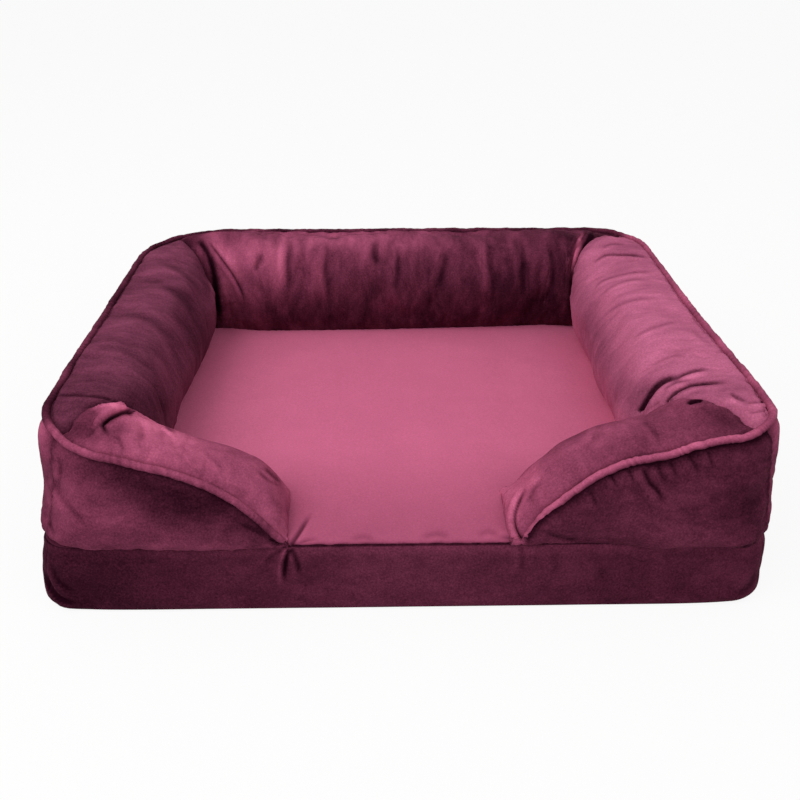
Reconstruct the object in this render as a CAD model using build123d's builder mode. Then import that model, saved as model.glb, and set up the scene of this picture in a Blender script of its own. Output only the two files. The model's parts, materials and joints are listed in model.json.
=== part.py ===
from build123d import *
import os
from dataclasses import dataclass, replace
from math import atan2, cos, sin, sqrt, tan

# Dog bed: a foam mattress in a zipped plush cover, with a stuffed bolster sewn round three sides.
# Two low arms of the bolster turn in along the front and slope down to the open entrance.
# Frame: X along the long side, Y from the entrance to the back, Z up, the origin on the floor at the middle.

# Whole bed
bed_length = 710.0
bed_depth = 582.0
base_height = 78.0
base_corner_radius = 32.0
cover_thickness = 2.0
fit_gap = 0.3
overrun = 6.0

# Mattress base: the walls swell at half height and draw in to their seams
base_swell = 2.5
base_foot_draw = 4.0
base_top_draw = 2.0
zip_room = 5.0

# Bolster outline, measured in from the side of the base and up from its top
bolster_height = 120.0
piping_height = 112.0
piping_inset = 14.0
wall_swell = 4.5
bolster_foot = 98.0
inner_swell = 17.0
mitre_sag = 2.5
mitre_draw = 5.0
back_extra = 2.0
wall_swell_share = 0.45
full_swell_share = 0.85
crest_share = 0.45
shoulder_share = 0.71
shoulder_height_share = 0.87
inner_swell_share = 0.4
inner_round_share = 0.04

# Bolster corners in plan: rounded more the higher up, because the stuffing draws the piping in
foot_corner_radius = 40.0
wall_corner_radius = 62.0
seam_corner_radius = 66.0

# Cuts through the bolster near a corner: distance along as a share of the rounded part, then the skew
corner_cut_shares = (
    (0.0, 1.0),
    (0.125, 0.94),
    (0.26, 0.88),
    (0.41, 0.81),
    (0.575, 0.73),
    (0.76, 0.65),
    (0.975, 0.56),
)
quarter_share = 0.25
quarter_skew_share = 0.4
middle_share = 0.5

# Front arms: the piping runs down a slope, turns through one long arc and ends on the base
arm_length = 242.0
arm_bend_along = 208.0
arm_bend_height = 57.0
arm_bend_radius = 150.0
arm_end_height = 4.0
arm_shoulder_drop = 17.0
# Each cut: distance along as a share of the arm, skew, then crest and foot as shares of the full bolster
arm_cut_shares = (
    (0.42, 0.44, 0.875, 1.00),
    (0.53, 0.34, 0.810, 1.00),
    (0.64, 0.26, 0.735, 0.99),
    (0.765, 0.20, 0.620, 0.97),
    (0.88, 0.17, 0.450, 0.94),
    (0.95, 0.16, 0.300, 0.92),
    (0.975, 0.16, 0.190, 0.91),
    (0.993, 0.16, 0.085, 0.90),
)

# Piping: a cotton cord in a folded strip, set in the seam between wall and roll
cord_radius = 1.8
piping_strip = 1.0
cord_gap = 0.2
piping_proud = 1.0

# Zip along the back of the base
zip_panel_length = 620.0
zip_window = 13.0
tape_thickness = 0.8
tape_overlap = 7.5
coil_width = 2.6
coil_thickness = 1.6
coil_slit = 1.2
coil_end_margin = 8.0
stop_length = 2.5
slider_length = 11.0
slider_plate = 1.2
slider_flange = 1.2
slider_inner_plate = 1.0
slider_web_length = 3.5
slider_web_thickness = 0.6
slider_corner_radius = 1.6
arch_length = 6.4
arch_width = 2.4
arch_wall = 0.9
arch_window_length = 3.4
arch_window_height = 1.7
pull_bar_radius = 0.65
pull_thickness = 1.3
pull_arm_width = 1.2
pull_length = 24.0
pull_neck_share = 0.34
pull_tab_width = 8.0
pull_corner_radius = 2.2

half_length = bed_length / 2
half_depth = bed_depth / 2
piping_radius = cord_radius + cord_gap + piping_strip
seam_allowance = piping_radius + fit_gap - piping_proud
foot_centre = foot_corner_radius + base_top_draw
wall_centre = wall_corner_radius - wall_swell
seam_centre = seam_corner_radius + piping_inset
up = Vector(0, 0, 1)


@dataclass(frozen=True)
class Cut:
    """One upright cut through the bolster, where its outline is drawn."""

    along: float  # from the corner, measured on the side face of the base
    skew: float  # distance along for each unit inward, so that one is a mitre
    crest: float
    foot: float
    seam: float


@dataclass(frozen=True)
class Run:
    """One straight run of the bolster, between two mitres or from a mitre to a free end."""

    corner: Vector
    along: Vector
    inward: Vector
    length: float
    far_corner: bool
    cuts: tuple


def arm_seam_height(along):
    """Height of the piping line above the base, at a distance along the front arm."""
    slope_in = atan2(piping_height - arm_bend_height, arm_bend_along - piping_inset)
    slope_out = atan2(arm_bend_height - arm_end_height, arm_length - arm_bend_along)
    tangent = arm_bend_radius * tan((slope_out - slope_in) / 2)
    tangent_start = arm_bend_along - tangent * cos(slope_in)
    tangent_end = arm_bend_along + tangent * cos(slope_out)
    if along <= tangent_start:
        return piping_height - tan(slope_in) * (along - piping_inset)
    if along >= tangent_end:
        return max(arm_bend_height - tan(slope_out) * (along - arm_bend_along), arm_end_height)
    start_height = arm_bend_height + tangent * sin(slope_in)
    centre_along = tangent_start - arm_bend_radius * sin(slope_in)
    centre_height = start_height - arm_bend_radius * cos(slope_in)
    return centre_height + sqrt(arm_bend_radius**2 - (along - centre_along) ** 2)


def seam_inset(seam):
    """Distance of the piping line in from the side of the base, on a wall that leans in as it rises."""
    return base_top_draw + (piping_inset - base_top_draw) * seam / piping_height


def rounded_distance(along, skew, straight, centre):
    """Distance inward where a slanting row meets a wall at a straight distance that rounds the corner."""
    if along + skew * straight >= centre:
        return straight
    a = 1 + skew**2
    b = -2 * (centre + skew * (centre - along))
    c = centre**2 + (centre - along) ** 2 - (centre - straight) ** 2
    return (-b - sqrt(b**2 - 4 * a * c)) / (2 * a)


def wall_distance(run, cut, straight, centre):
    """Distance inward where a cut of a run meets such a wall, round the nearer corner."""
    if run.far_corner and cut.along > run.length / 2:
        return rounded_distance(run.length - cut.along, -cut.skew, straight, centre)
    return rounded_distance(cut.along, cut.skew, straight, centre)


def cut_plane(run, cut, height):
    """Upright plane of one cut, with its first axis inward and its second axis up."""
    direction = (run.inward + run.along * cut.skew).normalized()
    origin = run.corner + run.along * cut.along + up * height
    return Plane(origin=origin, x_dir=direction, z_dir=direction.cross(up))


def stretch(cut):
    """How much longer the outline is across a skewed cut than straight across the bolster."""
    return sqrt(1 + cut.skew**2)


def bolster_block(run, inset, floor, sink):
    """Solid of one run of bolster, drawn in by an inset, on a floor above the base top or sunk below it."""
    with BuildPart() as block:
        for cut in run.cuts:
            wide = stretch(cut)
            crest = cut.crest - inset
            seam = cut.seam - inset
            swell_to = cut.foot + inner_swell * cut.crest / bolster_height - inset
            swell_height = inner_swell_share * crest
            foot_out = (wide * wall_distance(run, cut, base_top_draw + inset, foot_centre), floor)
            foot_in = (wide * (cut.foot - inset), floor)
            swell = wall_swell * min(1, cut.seam / (full_swell_share * piping_height))
            wall_at = wall_distance(run, cut, inset - swell, wall_centre)
            seam_at = (wide * wall_distance(run, cut, seam_inset(cut.seam) + inset, seam_centre), seam)
            crest_at = (wide * crest_share * swell_to, crest)
            shoulder_at = (wide * shoulder_share * swell_to, shoulder_height_share * crest)
            swell_at = (wide * swell_to, swell_height)
            round_at = (wide * (swell_to + inner_round_share * swell_height), (swell_height + floor) / 2)
            with BuildSketch(cut_plane(run, cut, base_height)):
                with BuildLine():
                    ThreePointArc(foot_out, (wide * wall_at, wall_swell_share * seam), seam_at)
                    TangentArc(crest_at, seam_at, tangent=(-1, 0))
                    shoulder = TangentArc(crest_at, shoulder_at, tangent=(1, 0))
                    TangentArc(shoulder_at, swell_at, tangent=shoulder % 1)
                    ThreePointArc(swell_at, round_at, foot_in)
                    if sink > 0:
                        Polyline(foot_in, (foot_in[0], -sink), (foot_out[0], -sink), foot_out)
                    else:
                        Line(foot_in, foot_out)
                make_face()
        loft(ruled=True)
    return block.part


def wall_zone(run, reach_in, rise):
    """Solid that holds the outer wall of a run, up to a height past the piping line."""
    with BuildPart() as zone:
        for cut in run.cuts:
            wide = stretch(cut)
            outside = wide * wall_distance(run, cut, -wall_swell - overrun, foot_centre)
            inside = wide * (wall_distance(run, cut, seam_inset(cut.seam), seam_centre) + reach_in)
            with BuildSketch(cut_plane(run, cut, base_height)):
                with BuildLine():
                    Polyline(
                        (outside, -overrun),
                        (inside, -overrun),
                        (inside, cut.seam + rise),
                        (outside, cut.seam + rise),
                        close=True,
                    )
                make_face()
        loft(ruled=True)
    return zone.part


def level_seam(along, inward):
    """Height of the piping line on a side or back run."""
    return piping_height


def seam_beside_arm(along, inward):
    """Height of the piping line on a side run, where it turns down into the arm."""
    return arm_seam_height(inward)


def seam_on_arm(along, inward):
    """Height of the piping line on an arm."""
    return arm_seam_height(along)


def corner_cuts(seam_at, drop):
    """Cuts at the start of a run, from the mitre to where the outer wall is straight; its crest may drop."""
    cuts = []
    for share, skew in corner_cut_shares:
        closeness = skew**2
        along = share * seam_centre
        inward = rounded_distance(along, skew, piping_inset, seam_centre)
        crest = bolster_height - mitre_sag * closeness - drop * (1 - closeness) ** 2
        foot = bolster_foot - mitre_draw * closeness
        cuts.append(Cut(along, skew, crest, foot, seam_at(along + skew * inward, inward)))
    return cuts


def side_run(corner, along, inward, length, middle_foot, near_seam):
    """A run between two mitres, crowned in the middle, with its piping height at the near corner."""
    near = corner_cuts(near_seam, 0)
    mirrored = reversed(corner_cuts(level_seam, 0))
    far = [Cut(length - c.along, -c.skew, c.crest, c.foot, c.seam) for c in mirrored]
    quarter_foot = (bolster_foot + middle_foot) / 2
    full = bolster_height
    middle = [
        Cut(quarter_share * length, quarter_skew_share, full, quarter_foot, piping_height),
        Cut(middle_share * length, 0.0, full, middle_foot, piping_height),
        Cut(length - quarter_share * length, -quarter_skew_share, full, quarter_foot, piping_height),
    ]
    return Run(corner, along, inward, length, True, tuple(near + middle + far))


def arm_run(corner, along, inward):
    """A front arm, from its mitre to the low free end at the entrance."""
    cuts = corner_cuts(seam_on_arm, arm_shoulder_drop)
    for share, skew, crest, foot in arm_cut_shares:
        start = share * arm_length
        seam = arm_seam_height(start + skew * piping_inset * (1 - share))
        cuts.append(Cut(start, skew, crest * bolster_height, foot * bolster_foot, seam))
    return Run(corner, along, inward, arm_length, False, tuple(cuts))


def opened(run):
    """The same run with its mitred ends carried on past the mitre, and short of a closed free end."""
    cuts = [replace(run.cuts[0], along=-overrun)] + list(run.cuts)
    if run.far_corner:
        cuts.append(replace(run.cuts[-1], along=run.length + overrun))
    else:
        cuts.pop()
    return replace(run, cuts=tuple(cuts))


def shortened(run):
    """The same run, clear of its mitres by the fit gap, and short of a closed free end."""
    cuts = list(run.cuts)
    cuts[0] = replace(cuts[0], along=fit_gap)
    if run.far_corner:
        cuts[-1] = replace(cuts[-1], along=run.length - fit_gap)
    else:
        cuts.pop()
    return replace(run, cuts=tuple(cuts))


east, north = Vector(1, 0, 0), Vector(0, 1, 0)
front_left_corner = Vector(-half_length, -half_depth, 0)
front_right_corner = Vector(half_length, -half_depth, 0)
back_left_corner = Vector(-half_length, half_depth, 0)

runs = {
    "left": side_run(front_left_corner, north, east, bed_depth, bolster_foot, seam_beside_arm),
    "back": side_run(back_left_corner, east, -north, bed_length, bolster_foot + back_extra, level_seam),
    "right": side_run(front_right_corner, north, -east, bed_depth, bolster_foot, seam_beside_arm),
    "front_left": arm_run(front_left_corner, east, north),
    "front_right": arm_run(front_right_corner, -east, north),
}


def path_point(corner, along, distance, height):
    """Point on the piping's route in the leaning front wall, at a distance along from a front corner."""
    inset = seam_inset(height) - piping_proud
    return corner + along * distance + north * inset + up * (base_height + height + piping_proud)


def piping_route():
    """Corner points of the piping's route, from the end of one front arm round the bed to the other."""
    inset = piping_inset - piping_proud
    level = base_height + piping_height + piping_proud
    left, right, back = inset - half_length, half_length - inset, half_depth - inset
    return [
        path_point(front_left_corner, east, arm_length, arm_end_height),
        path_point(front_left_corner, east, arm_bend_along, arm_bend_height),
        Vector(left, -back, level),
        Vector(left, back, level),
        Vector(right, back, level),
        Vector(right, -back, level),
        path_point(front_right_corner, -east, arm_bend_along, arm_bend_height),
        path_point(front_right_corner, -east, arm_length, arm_end_height),
    ]


turn = seam_corner_radius + piping_proud
piping_radii = [arm_bend_radius, turn, turn, turn, turn, arm_bend_radius]


def tube(outer, bore):
    """Round tube along the piping's route, solid where its bore is zero."""
    with BuildPart() as swept:
        with BuildLine() as route:
            line = FilletPolyline(*piping_route(), radius=piping_radii)
        with BuildSketch(Plane(origin=line @ 0, z_dir=line % 0)):
            Circle(outer)
            if bore > 0:
                Circle(bore, mode=Mode.SUBTRACT)
        sweep(path=route.line)
    return swept.part


# Bolster: a wall panel and a roll panel over the fill of each run, with the piping set between them
piping_groove = tube(piping_radius + fit_gap, 0)
os.makedirs("parts", exist_ok=True)

for place, run in runs.items():
    body = bolster_block(run, 0, 0, 0)
    chamber = bolster_block(opened(run), cover_thickness, 0, overrun)
    lower_zone = wall_zone(run, seam_allowance, -seam_allowance)
    seam_zone = wall_zone(run, seam_allowance, 3 * overrun)

    with BuildPart() as wall_panel:
        add(body)
        add(chamber, mode=Mode.SUBTRACT)
        add(lower_zone, mode=Mode.INTERSECT)
        add(piping_groove, mode=Mode.SUBTRACT)
    wall_panel.part.label = "wall_panel_" + place
    export_step(wall_panel.part, "parts/wall_panel_" + place + ".step")

    with BuildPart() as roll_panel:
        add(body)
        add(chamber, mode=Mode.SUBTRACT)
        add(seam_zone, mode=Mode.SUBTRACT)
        add(piping_groove, mode=Mode.SUBTRACT)
    roll_panel.part.label = "roll_panel_" + place
    export_step(roll_panel.part, "parts/roll_panel_" + place + ".step")

    with BuildPart() as bolster_fill:
        add(bolster_block(shortened(run), cover_thickness + fit_gap, fit_gap, 0))
        add(piping_groove, mode=Mode.SUBTRACT)
    bolster_fill.part.label = "bolster_fill_" + place
    export_step(bolster_fill.part, "parts/bolster_fill_" + place + ".step")

# Piping: the folded strip and the cord inside it
with BuildPart() as piping_cover:
    add(tube(piping_radius, cord_radius + cord_gap))
piping_cover.part.label = "piping_cover"
export_step(piping_cover.part, "parts/piping_cover.step")

with BuildPart() as piping_cord:
    add(tube(cord_radius, 0))
piping_cord.part.label = "piping_cord"
export_step(piping_cord.part, "parts/piping_cord.step")


def base_block(inset):
    """Solid of the mattress base, drawn in by an inset; its back stays flat for the zip."""
    levels = (
        (0.0, base_foot_draw),
        (base_height / 2, -base_swell),
        (base_height, base_top_draw),
    )
    with BuildPart() as block:
        for level, draw in levels:
            inward = inset + draw
            depth = bed_depth - inset - inward
            middle = (inward - inset) / 2
            with BuildSketch(Plane(origin=(0, middle, level))):
                RectangleRounded(bed_length - 2 * inward, depth, base_corner_radius - inward)
        loft()
    return block.part


def prism(points):
    """Upright prism on an outline, taller than the base at both ends."""
    with BuildPart() as block:
        with BuildSketch(Plane.XY.offset(-overrun)):
            with BuildLine():
                Polyline(*points, close=True)
            make_face()
        extrude(amount=base_height + 2 * overrun)
    return block.part


# Base: top and bottom panels, a front and two side bands, and two strips beside the zip
base_body = base_block(0)
base_chamber = base_block(cover_thickness)
band_low = cover_thickness
band_high = base_height - cover_thickness
reach_x = half_length + overrun
reach_y = half_depth + overrun
seam_x = zip_panel_length / 2
seam_y = reach_y - (reach_x - seam_x)
zip_height = base_height / 2

band_regions = {
    "front": ((-reach_x, -reach_y), (reach_x, -reach_y), (seam_x, -seam_y), (-seam_x, -seam_y)),
    "left": ((-reach_x, -reach_y), (-seam_x, -seam_y), (-seam_x, reach_y), (-reach_x, reach_y)),
    "right": ((reach_x, -reach_y), (seam_x, -seam_y), (seam_x, reach_y), (reach_x, reach_y)),
}
for place, outline in band_regions.items():
    region = prism(outline)
    with BuildPart() as base_band:
        add(base_body)
        add(base_chamber, mode=Mode.SUBTRACT)
        add(region, mode=Mode.INTERSECT)
        split(bisect_by=Plane.XY.offset(band_low), keep=Keep.TOP)
        split(bisect_by=Plane.XY.offset(band_high), keep=Keep.BOTTOM)
    base_band.part.label = "base_band_" + place
    export_step(base_band.part, "parts/base_band_" + place + ".step")

back_wall = half_depth - cover_thickness
strip_levels = {
    "lower": (band_low, zip_height - zip_window / 2),
    "upper": (zip_height + zip_window / 2, band_high),
}
for place, (low, high) in strip_levels.items():
    with BuildPart() as zip_strip:
        with BuildSketch(Plane.XY.offset(low)):
            with BuildLine():
                Polyline(
                    (-seam_x, back_wall),
                    (seam_x, back_wall),
                    (seam_x, half_depth),
                    (-seam_x, half_depth),
                    close=True,
                )
            make_face()
        extrude(amount=high - low)
    zip_strip.part.label = "base_back_strip_" + place
    export_step(zip_strip.part, "parts/base_back_strip_" + place + ".step")

with BuildPart() as base_top_panel:
    add(base_body)
    split(bisect_by=Plane.XY.offset(band_high), keep=Keep.TOP)
base_top_panel.part.label = "base_top_panel"
export_step(base_top_panel.part, "parts/base_top_panel.step")

with BuildPart() as base_bottom_panel:
    add(base_body)
    split(bisect_by=Plane.XY.offset(band_low), keep=Keep.BOTTOM)
base_bottom_panel.part.label = "base_bottom_panel"
export_step(base_bottom_panel.part, "parts/base_bottom_panel.step")

# Foam: fills the cover, short of the back by the room that the zip slider needs
foam_back = back_wall - zip_room
with BuildPart() as mattress_foam:
    add(base_block(cover_thickness + fit_gap))
    split(bisect_by=Plane.XY.offset(band_low + fit_gap), keep=Keep.TOP)
    split(bisect_by=Plane.XY.offset(band_high - fit_gap), keep=Keep.BOTTOM)
    split(bisect_by=Plane(origin=(0, foam_back, 0), z_dir=(0, 1, 0)), keep=Keep.BOTTOM)
mattress_foam.part.label = "mattress_foam"
export_step(mattress_foam.part, "parts/mattress_foam.step")


def bar(length, low, high, near, far, middle=0.0):
    """Straight bar along X between two heights and two distances in Y, centred at a place along X."""
    with BuildPart() as block:
        with BuildSketch(Plane.YZ.offset(middle - length / 2)):
            with Locations(((near + far) / 2, (low + high) / 2)):
                Rectangle(far - near, high - low)
        extrude(amount=length)
    return block.part


# Zip: two tapes behind the strips, a coil on each, and metal stops at the ends
tape_back = back_wall - tape_thickness
coil_front = back_wall + coil_thickness
coil_length = zip_panel_length - 2 * coil_end_margin
slit_half = coil_slit / 2
tape_reach = zip_window / 2 + tape_overlap
coil_reach = slit_half + coil_width

tape_levels = {
    "lower": (zip_height - tape_reach, zip_height - slit_half),
    "upper": (zip_height + slit_half, zip_height + tape_reach),
}
for place, (low, high) in tape_levels.items():
    with BuildPart() as zip_tape:
        add(bar(zip_panel_length, low, high, tape_back, back_wall))
    zip_tape.part.label = "zip_tape_" + place
    export_step(zip_tape.part, "parts/zip_tape_" + place + ".step")

coil_levels = {
    "lower": (zip_height - coil_reach, zip_height - slit_half),
    "upper": (zip_height + slit_half, zip_height + coil_reach),
}
for place, (low, high) in coil_levels.items():
    with BuildPart() as zip_coil:
        add(bar(coil_length, low, high, back_wall, coil_front))
    zip_coil.part.label = "zip_coil_" + place
    export_step(zip_coil.part, "parts/zip_coil_" + place + ".step")

stop_middle = (coil_length + stop_length) / 2
stop_low = zip_height - coil_reach
stop_high = zip_height + coil_reach
with BuildPart() as zip_stops:
    for middle in (-stop_middle, stop_middle):
        add(bar(stop_length, stop_low, stop_high, back_wall, coil_front, middle))
zip_stops.part.label = "zip_stops"
export_step(zip_stops.part, "parts/zip_stops.step")

# Slider: two plates joined by a thin web in the slit, with flanges round the coils and an arch for the pull
slider_middle = (coil_length - slider_length) / 2 - fit_gap
channel_half = coil_reach + fit_gap
slider_half = channel_half + slider_flange
plate_back = coil_front + fit_gap
plate_front = plate_back + slider_plate
flange_back = back_wall + fit_gap
inner_front = tape_back - fit_gap
inner_back = inner_front - slider_inner_plate


def slider_outline(half_width):
    """Rounded outline of a slider plate, in the sketch that is open."""
    RectangleRounded(slider_length, 2 * half_width, slider_corner_radius)


with BuildPart() as zip_slider:
    face_plane = Plane(origin=(slider_middle, 0, zip_height), x_dir=(1, 0, 0), z_dir=(0, 1, 0))
    with BuildSketch(face_plane.offset(flange_back)):
        slider_outline(slider_half)
        Rectangle(slider_length, 2 * channel_half, mode=Mode.SUBTRACT)
    extrude(amount=plate_back - flange_back)
    with BuildSketch(face_plane.offset(plate_back)):
        slider_outline(slider_half)
    extrude(amount=slider_plate)
    with BuildSketch(face_plane.offset(inner_back)):
        slider_outline(slider_half)
    extrude(amount=slider_inner_plate)
    with BuildSketch(face_plane.offset(inner_front)):
        Rectangle(slider_web_length, slider_web_thickness)
    extrude(amount=plate_back - inner_front)
    with BuildSketch(face_plane.offset(plate_front)):
        Rectangle(arch_length, arch_width)
    extrude(amount=arch_window_height + arch_wall)
    with BuildSketch(face_plane.offset(plate_front)):
        Rectangle(arch_window_length, arch_width)
    extrude(amount=arch_window_height, mode=Mode.SUBTRACT)
zip_slider.part.label = "zip_slider"
export_step(zip_slider.part, "parts/zip_slider.step")

# Pull: a tab on two arms, with a cross bar through the arch
pin_y = plate_front + arch_window_height / 2
arm_inner = arch_width / 2 + fit_gap
arm_outer = arm_inner + pull_arm_width
pull_back = pin_y - pull_thickness / 2
neck_end = pull_length * pull_neck_share
with BuildPart() as zip_pull:
    pull_plane = Plane(origin=(slider_middle, pull_back, zip_height), x_dir=(-1, 0, 0), z_dir=(0, 1, 0))
    with BuildSketch(pull_plane):
        with Locations((neck_end / 2, 0)):
            Rectangle(neck_end, 2 * arm_outer)
        with Locations((neck_end / 2 - arch_length / 4, 0)):
            Rectangle(neck_end, 2 * arm_inner, mode=Mode.SUBTRACT)
        with Locations(((neck_end + pull_length) / 2, 0)):
            RectangleRounded(pull_length - neck_end, pull_tab_width, pull_corner_radius)
    extrude(amount=pull_thickness)
    with BuildSketch(Plane(origin=(slider_middle, pin_y, zip_height - arm_outer))):
        Circle(pull_bar_radius)
    extrude(amount=2 * arm_outer)
zip_pull.part.label = "zip_pull"
export_step(zip_pull.part, "parts/zip_pull.step")
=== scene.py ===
"""Dog bed: a foam base in a zipped plush cover, under a stuffed bolster with a piped edge."""

import json
import logging
import math
from collections.abc import Sequence
from dataclasses import dataclass
from enum import Enum

import bpy
import numpy as np
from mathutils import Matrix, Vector

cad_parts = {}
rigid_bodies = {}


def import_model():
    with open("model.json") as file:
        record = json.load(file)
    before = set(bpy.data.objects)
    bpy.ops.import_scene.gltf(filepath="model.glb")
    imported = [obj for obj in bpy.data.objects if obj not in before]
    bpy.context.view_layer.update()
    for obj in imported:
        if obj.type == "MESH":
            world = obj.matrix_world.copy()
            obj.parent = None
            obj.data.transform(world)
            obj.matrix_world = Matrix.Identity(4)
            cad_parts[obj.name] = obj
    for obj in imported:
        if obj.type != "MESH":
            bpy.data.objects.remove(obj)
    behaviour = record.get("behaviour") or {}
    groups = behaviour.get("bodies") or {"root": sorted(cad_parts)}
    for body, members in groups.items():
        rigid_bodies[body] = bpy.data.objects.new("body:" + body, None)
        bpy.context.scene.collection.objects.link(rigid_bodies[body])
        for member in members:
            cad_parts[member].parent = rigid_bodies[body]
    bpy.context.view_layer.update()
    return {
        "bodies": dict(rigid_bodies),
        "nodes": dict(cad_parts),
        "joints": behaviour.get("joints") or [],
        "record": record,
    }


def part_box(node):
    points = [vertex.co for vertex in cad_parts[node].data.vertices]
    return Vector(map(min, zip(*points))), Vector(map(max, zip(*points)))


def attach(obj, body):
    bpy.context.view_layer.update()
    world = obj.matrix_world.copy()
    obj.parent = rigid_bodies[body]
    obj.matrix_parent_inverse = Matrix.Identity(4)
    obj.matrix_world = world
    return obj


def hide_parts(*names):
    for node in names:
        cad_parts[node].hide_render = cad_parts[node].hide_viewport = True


log = logging.getLogger("dog_bed")
MM = 0.001
Array = np.ndarray
Pairs = Sequence[tuple[float, float]]


# Shared sizes, in millimetres


@dataclass(frozen=True)
class Bed:
    """Sizes that the base, the bolster and the piping share."""

    length: float = 710.0
    depth: float = 582.0
    base_top: float = 78.0
    corner: float = 32.0
    piping_height: float = 112.0
    piping_inset: float = 14.0
    foot_inset: float = 2.0
    skin: float = 1.6
    piping_proud: float = 1.0
    zip_length: float = 620.0
    zip_height: float = 39.0
    zip_window: float = 13.0


BED = Bed()


# Curves and noise


def smooth(share: Array) -> Array:
    """Ease a share from 0 to 1, flat at both ends."""
    t = np.clip(share, 0.0, 1.0)
    return t * t * (3.0 - 2.0 * t)


def bell(gap: Array, width: float) -> Array:
    """A rounded bump: one where the gap is nothing, falling away over the width on both sides."""
    return np.exp(-((gap / width) ** 2))


def track(table: Pairs, at: Array) -> Array:
    """Read a smooth line through a table of places and values, without overshoot.

    Args:
        table: pairs of place and value, in rising order of place.
        at: the places to read.
    Returns:
        The value at each place.
    """
    x, y = np.array(table, float).T
    step = np.diff(x)
    slope = np.diff(y) / step
    tangent = np.zeros_like(y)
    same = slope[:-1] * slope[1:] > 0
    mean = (slope[:-1] * step[1:] + slope[1:] * step[:-1]) / (step[1:] + step[:-1])
    limit = 3.0 * np.minimum(np.abs(slope[:-1]), np.abs(slope[1:]))
    tangent[1:-1] = np.where(same, np.sign(mean) * np.minimum(np.abs(mean), limit), 0.0)
    k = np.clip(np.searchsorted(x, at) - 1, 0, len(step) - 1)
    t = np.clip((at - x[k]) / step[k], 0.0, 1.0)
    rise = smooth(t)
    bend = t * (1.0 - t) * step[k]
    return y[k] * (1.0 - rise) + y[k + 1] * rise + bend * ((1.0 - t) * tangent[k] - t * tangent[k + 1])


def spline_rows(knots: Array, shares: Array) -> Array:
    """Draw a smooth line through each row of knots and read it at shares of its length.

    Args:
        knots: rows, knots, axes.
        shares: shares of a row's length, from 0 to 1.
    Returns:
        Rows, shares, axes.
    """
    step = np.linalg.norm(np.diff(knots, axis=1), axis=2)[..., None] + 1e-6
    slope = np.diff(knots, axis=1) / step
    before, after = step[:, :-1], step[:, 1:]
    tangent = np.empty_like(knots)
    tangent[:, 1:-1] = (slope[:, :-1] * after + slope[:, 1:] * before) / (after + before)
    tangent[:, 0] = 1.5 * slope[:, 0] - 0.5 * tangent[:, 1]
    tangent[:, -1] = 1.5 * slope[:, -1] - 0.5 * tangent[:, -2]
    t = np.linspace(0.0, 1.0, 13)[None, None, :-1, None]
    rise = smooth(t)
    a, b = knots[:, :-1, None], knots[:, 1:, None]
    ta, tb = (tangent[:, :-1] * step)[:, :, None], (tangent[:, 1:] * step)[:, :, None]
    line = a * (1.0 - rise) + b * rise + t * (1.0 - t) * ((1.0 - t) * ta - t * tb)
    line = np.concatenate([line.reshape(len(knots), -1, knots.shape[2]), knots[:, -1:]], axis=1)
    run = np.cumsum(np.linalg.norm(np.diff(line, axis=1), axis=2), axis=1)
    run = np.concatenate([np.zeros((len(knots), 1)), run], axis=1)
    made = [
        np.stack([np.interp(shares * r[-1], r, p[:, d]) for d in range(p.shape[1])], axis=1)
        for r, p in zip(run, line)
    ]
    return np.array(made)


def ripple(points: Array, size: float, seed: int, waves: int = 16) -> Array:
    """Soft uneven noise of about unit strength, from plane waves of one size in mm."""
    rng = np.random.default_rng(seed)
    total = np.zeros(points.shape[:-1])
    for _ in range(waves):
        way = rng.normal(size=points.shape[-1])
        way /= np.linalg.norm(way) * size * rng.uniform(0.7, 1.5)
        total += np.sin(2.0 * math.pi * (points @ way) + rng.uniform(0.0, 2.0 * math.pi))
    return total / math.sqrt(waves / 2.0)


def on_line(at: Array) -> Array:
    """Points on a straight line at the given places, for noise that changes along it alone."""
    return np.stack([at, np.zeros_like(at)], axis=-1)


def grid_normals(grid: Array) -> Array:
    """Unit normals of a grid of points, from its rows and columns."""
    normal = np.cross(np.gradient(grid, axis=0), np.gradient(grid, axis=1))
    return normal / (np.linalg.norm(normal, axis=2, keepdims=True) + 1e-9)


# The camera, which also places folds on the surfaces that it sees


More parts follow.
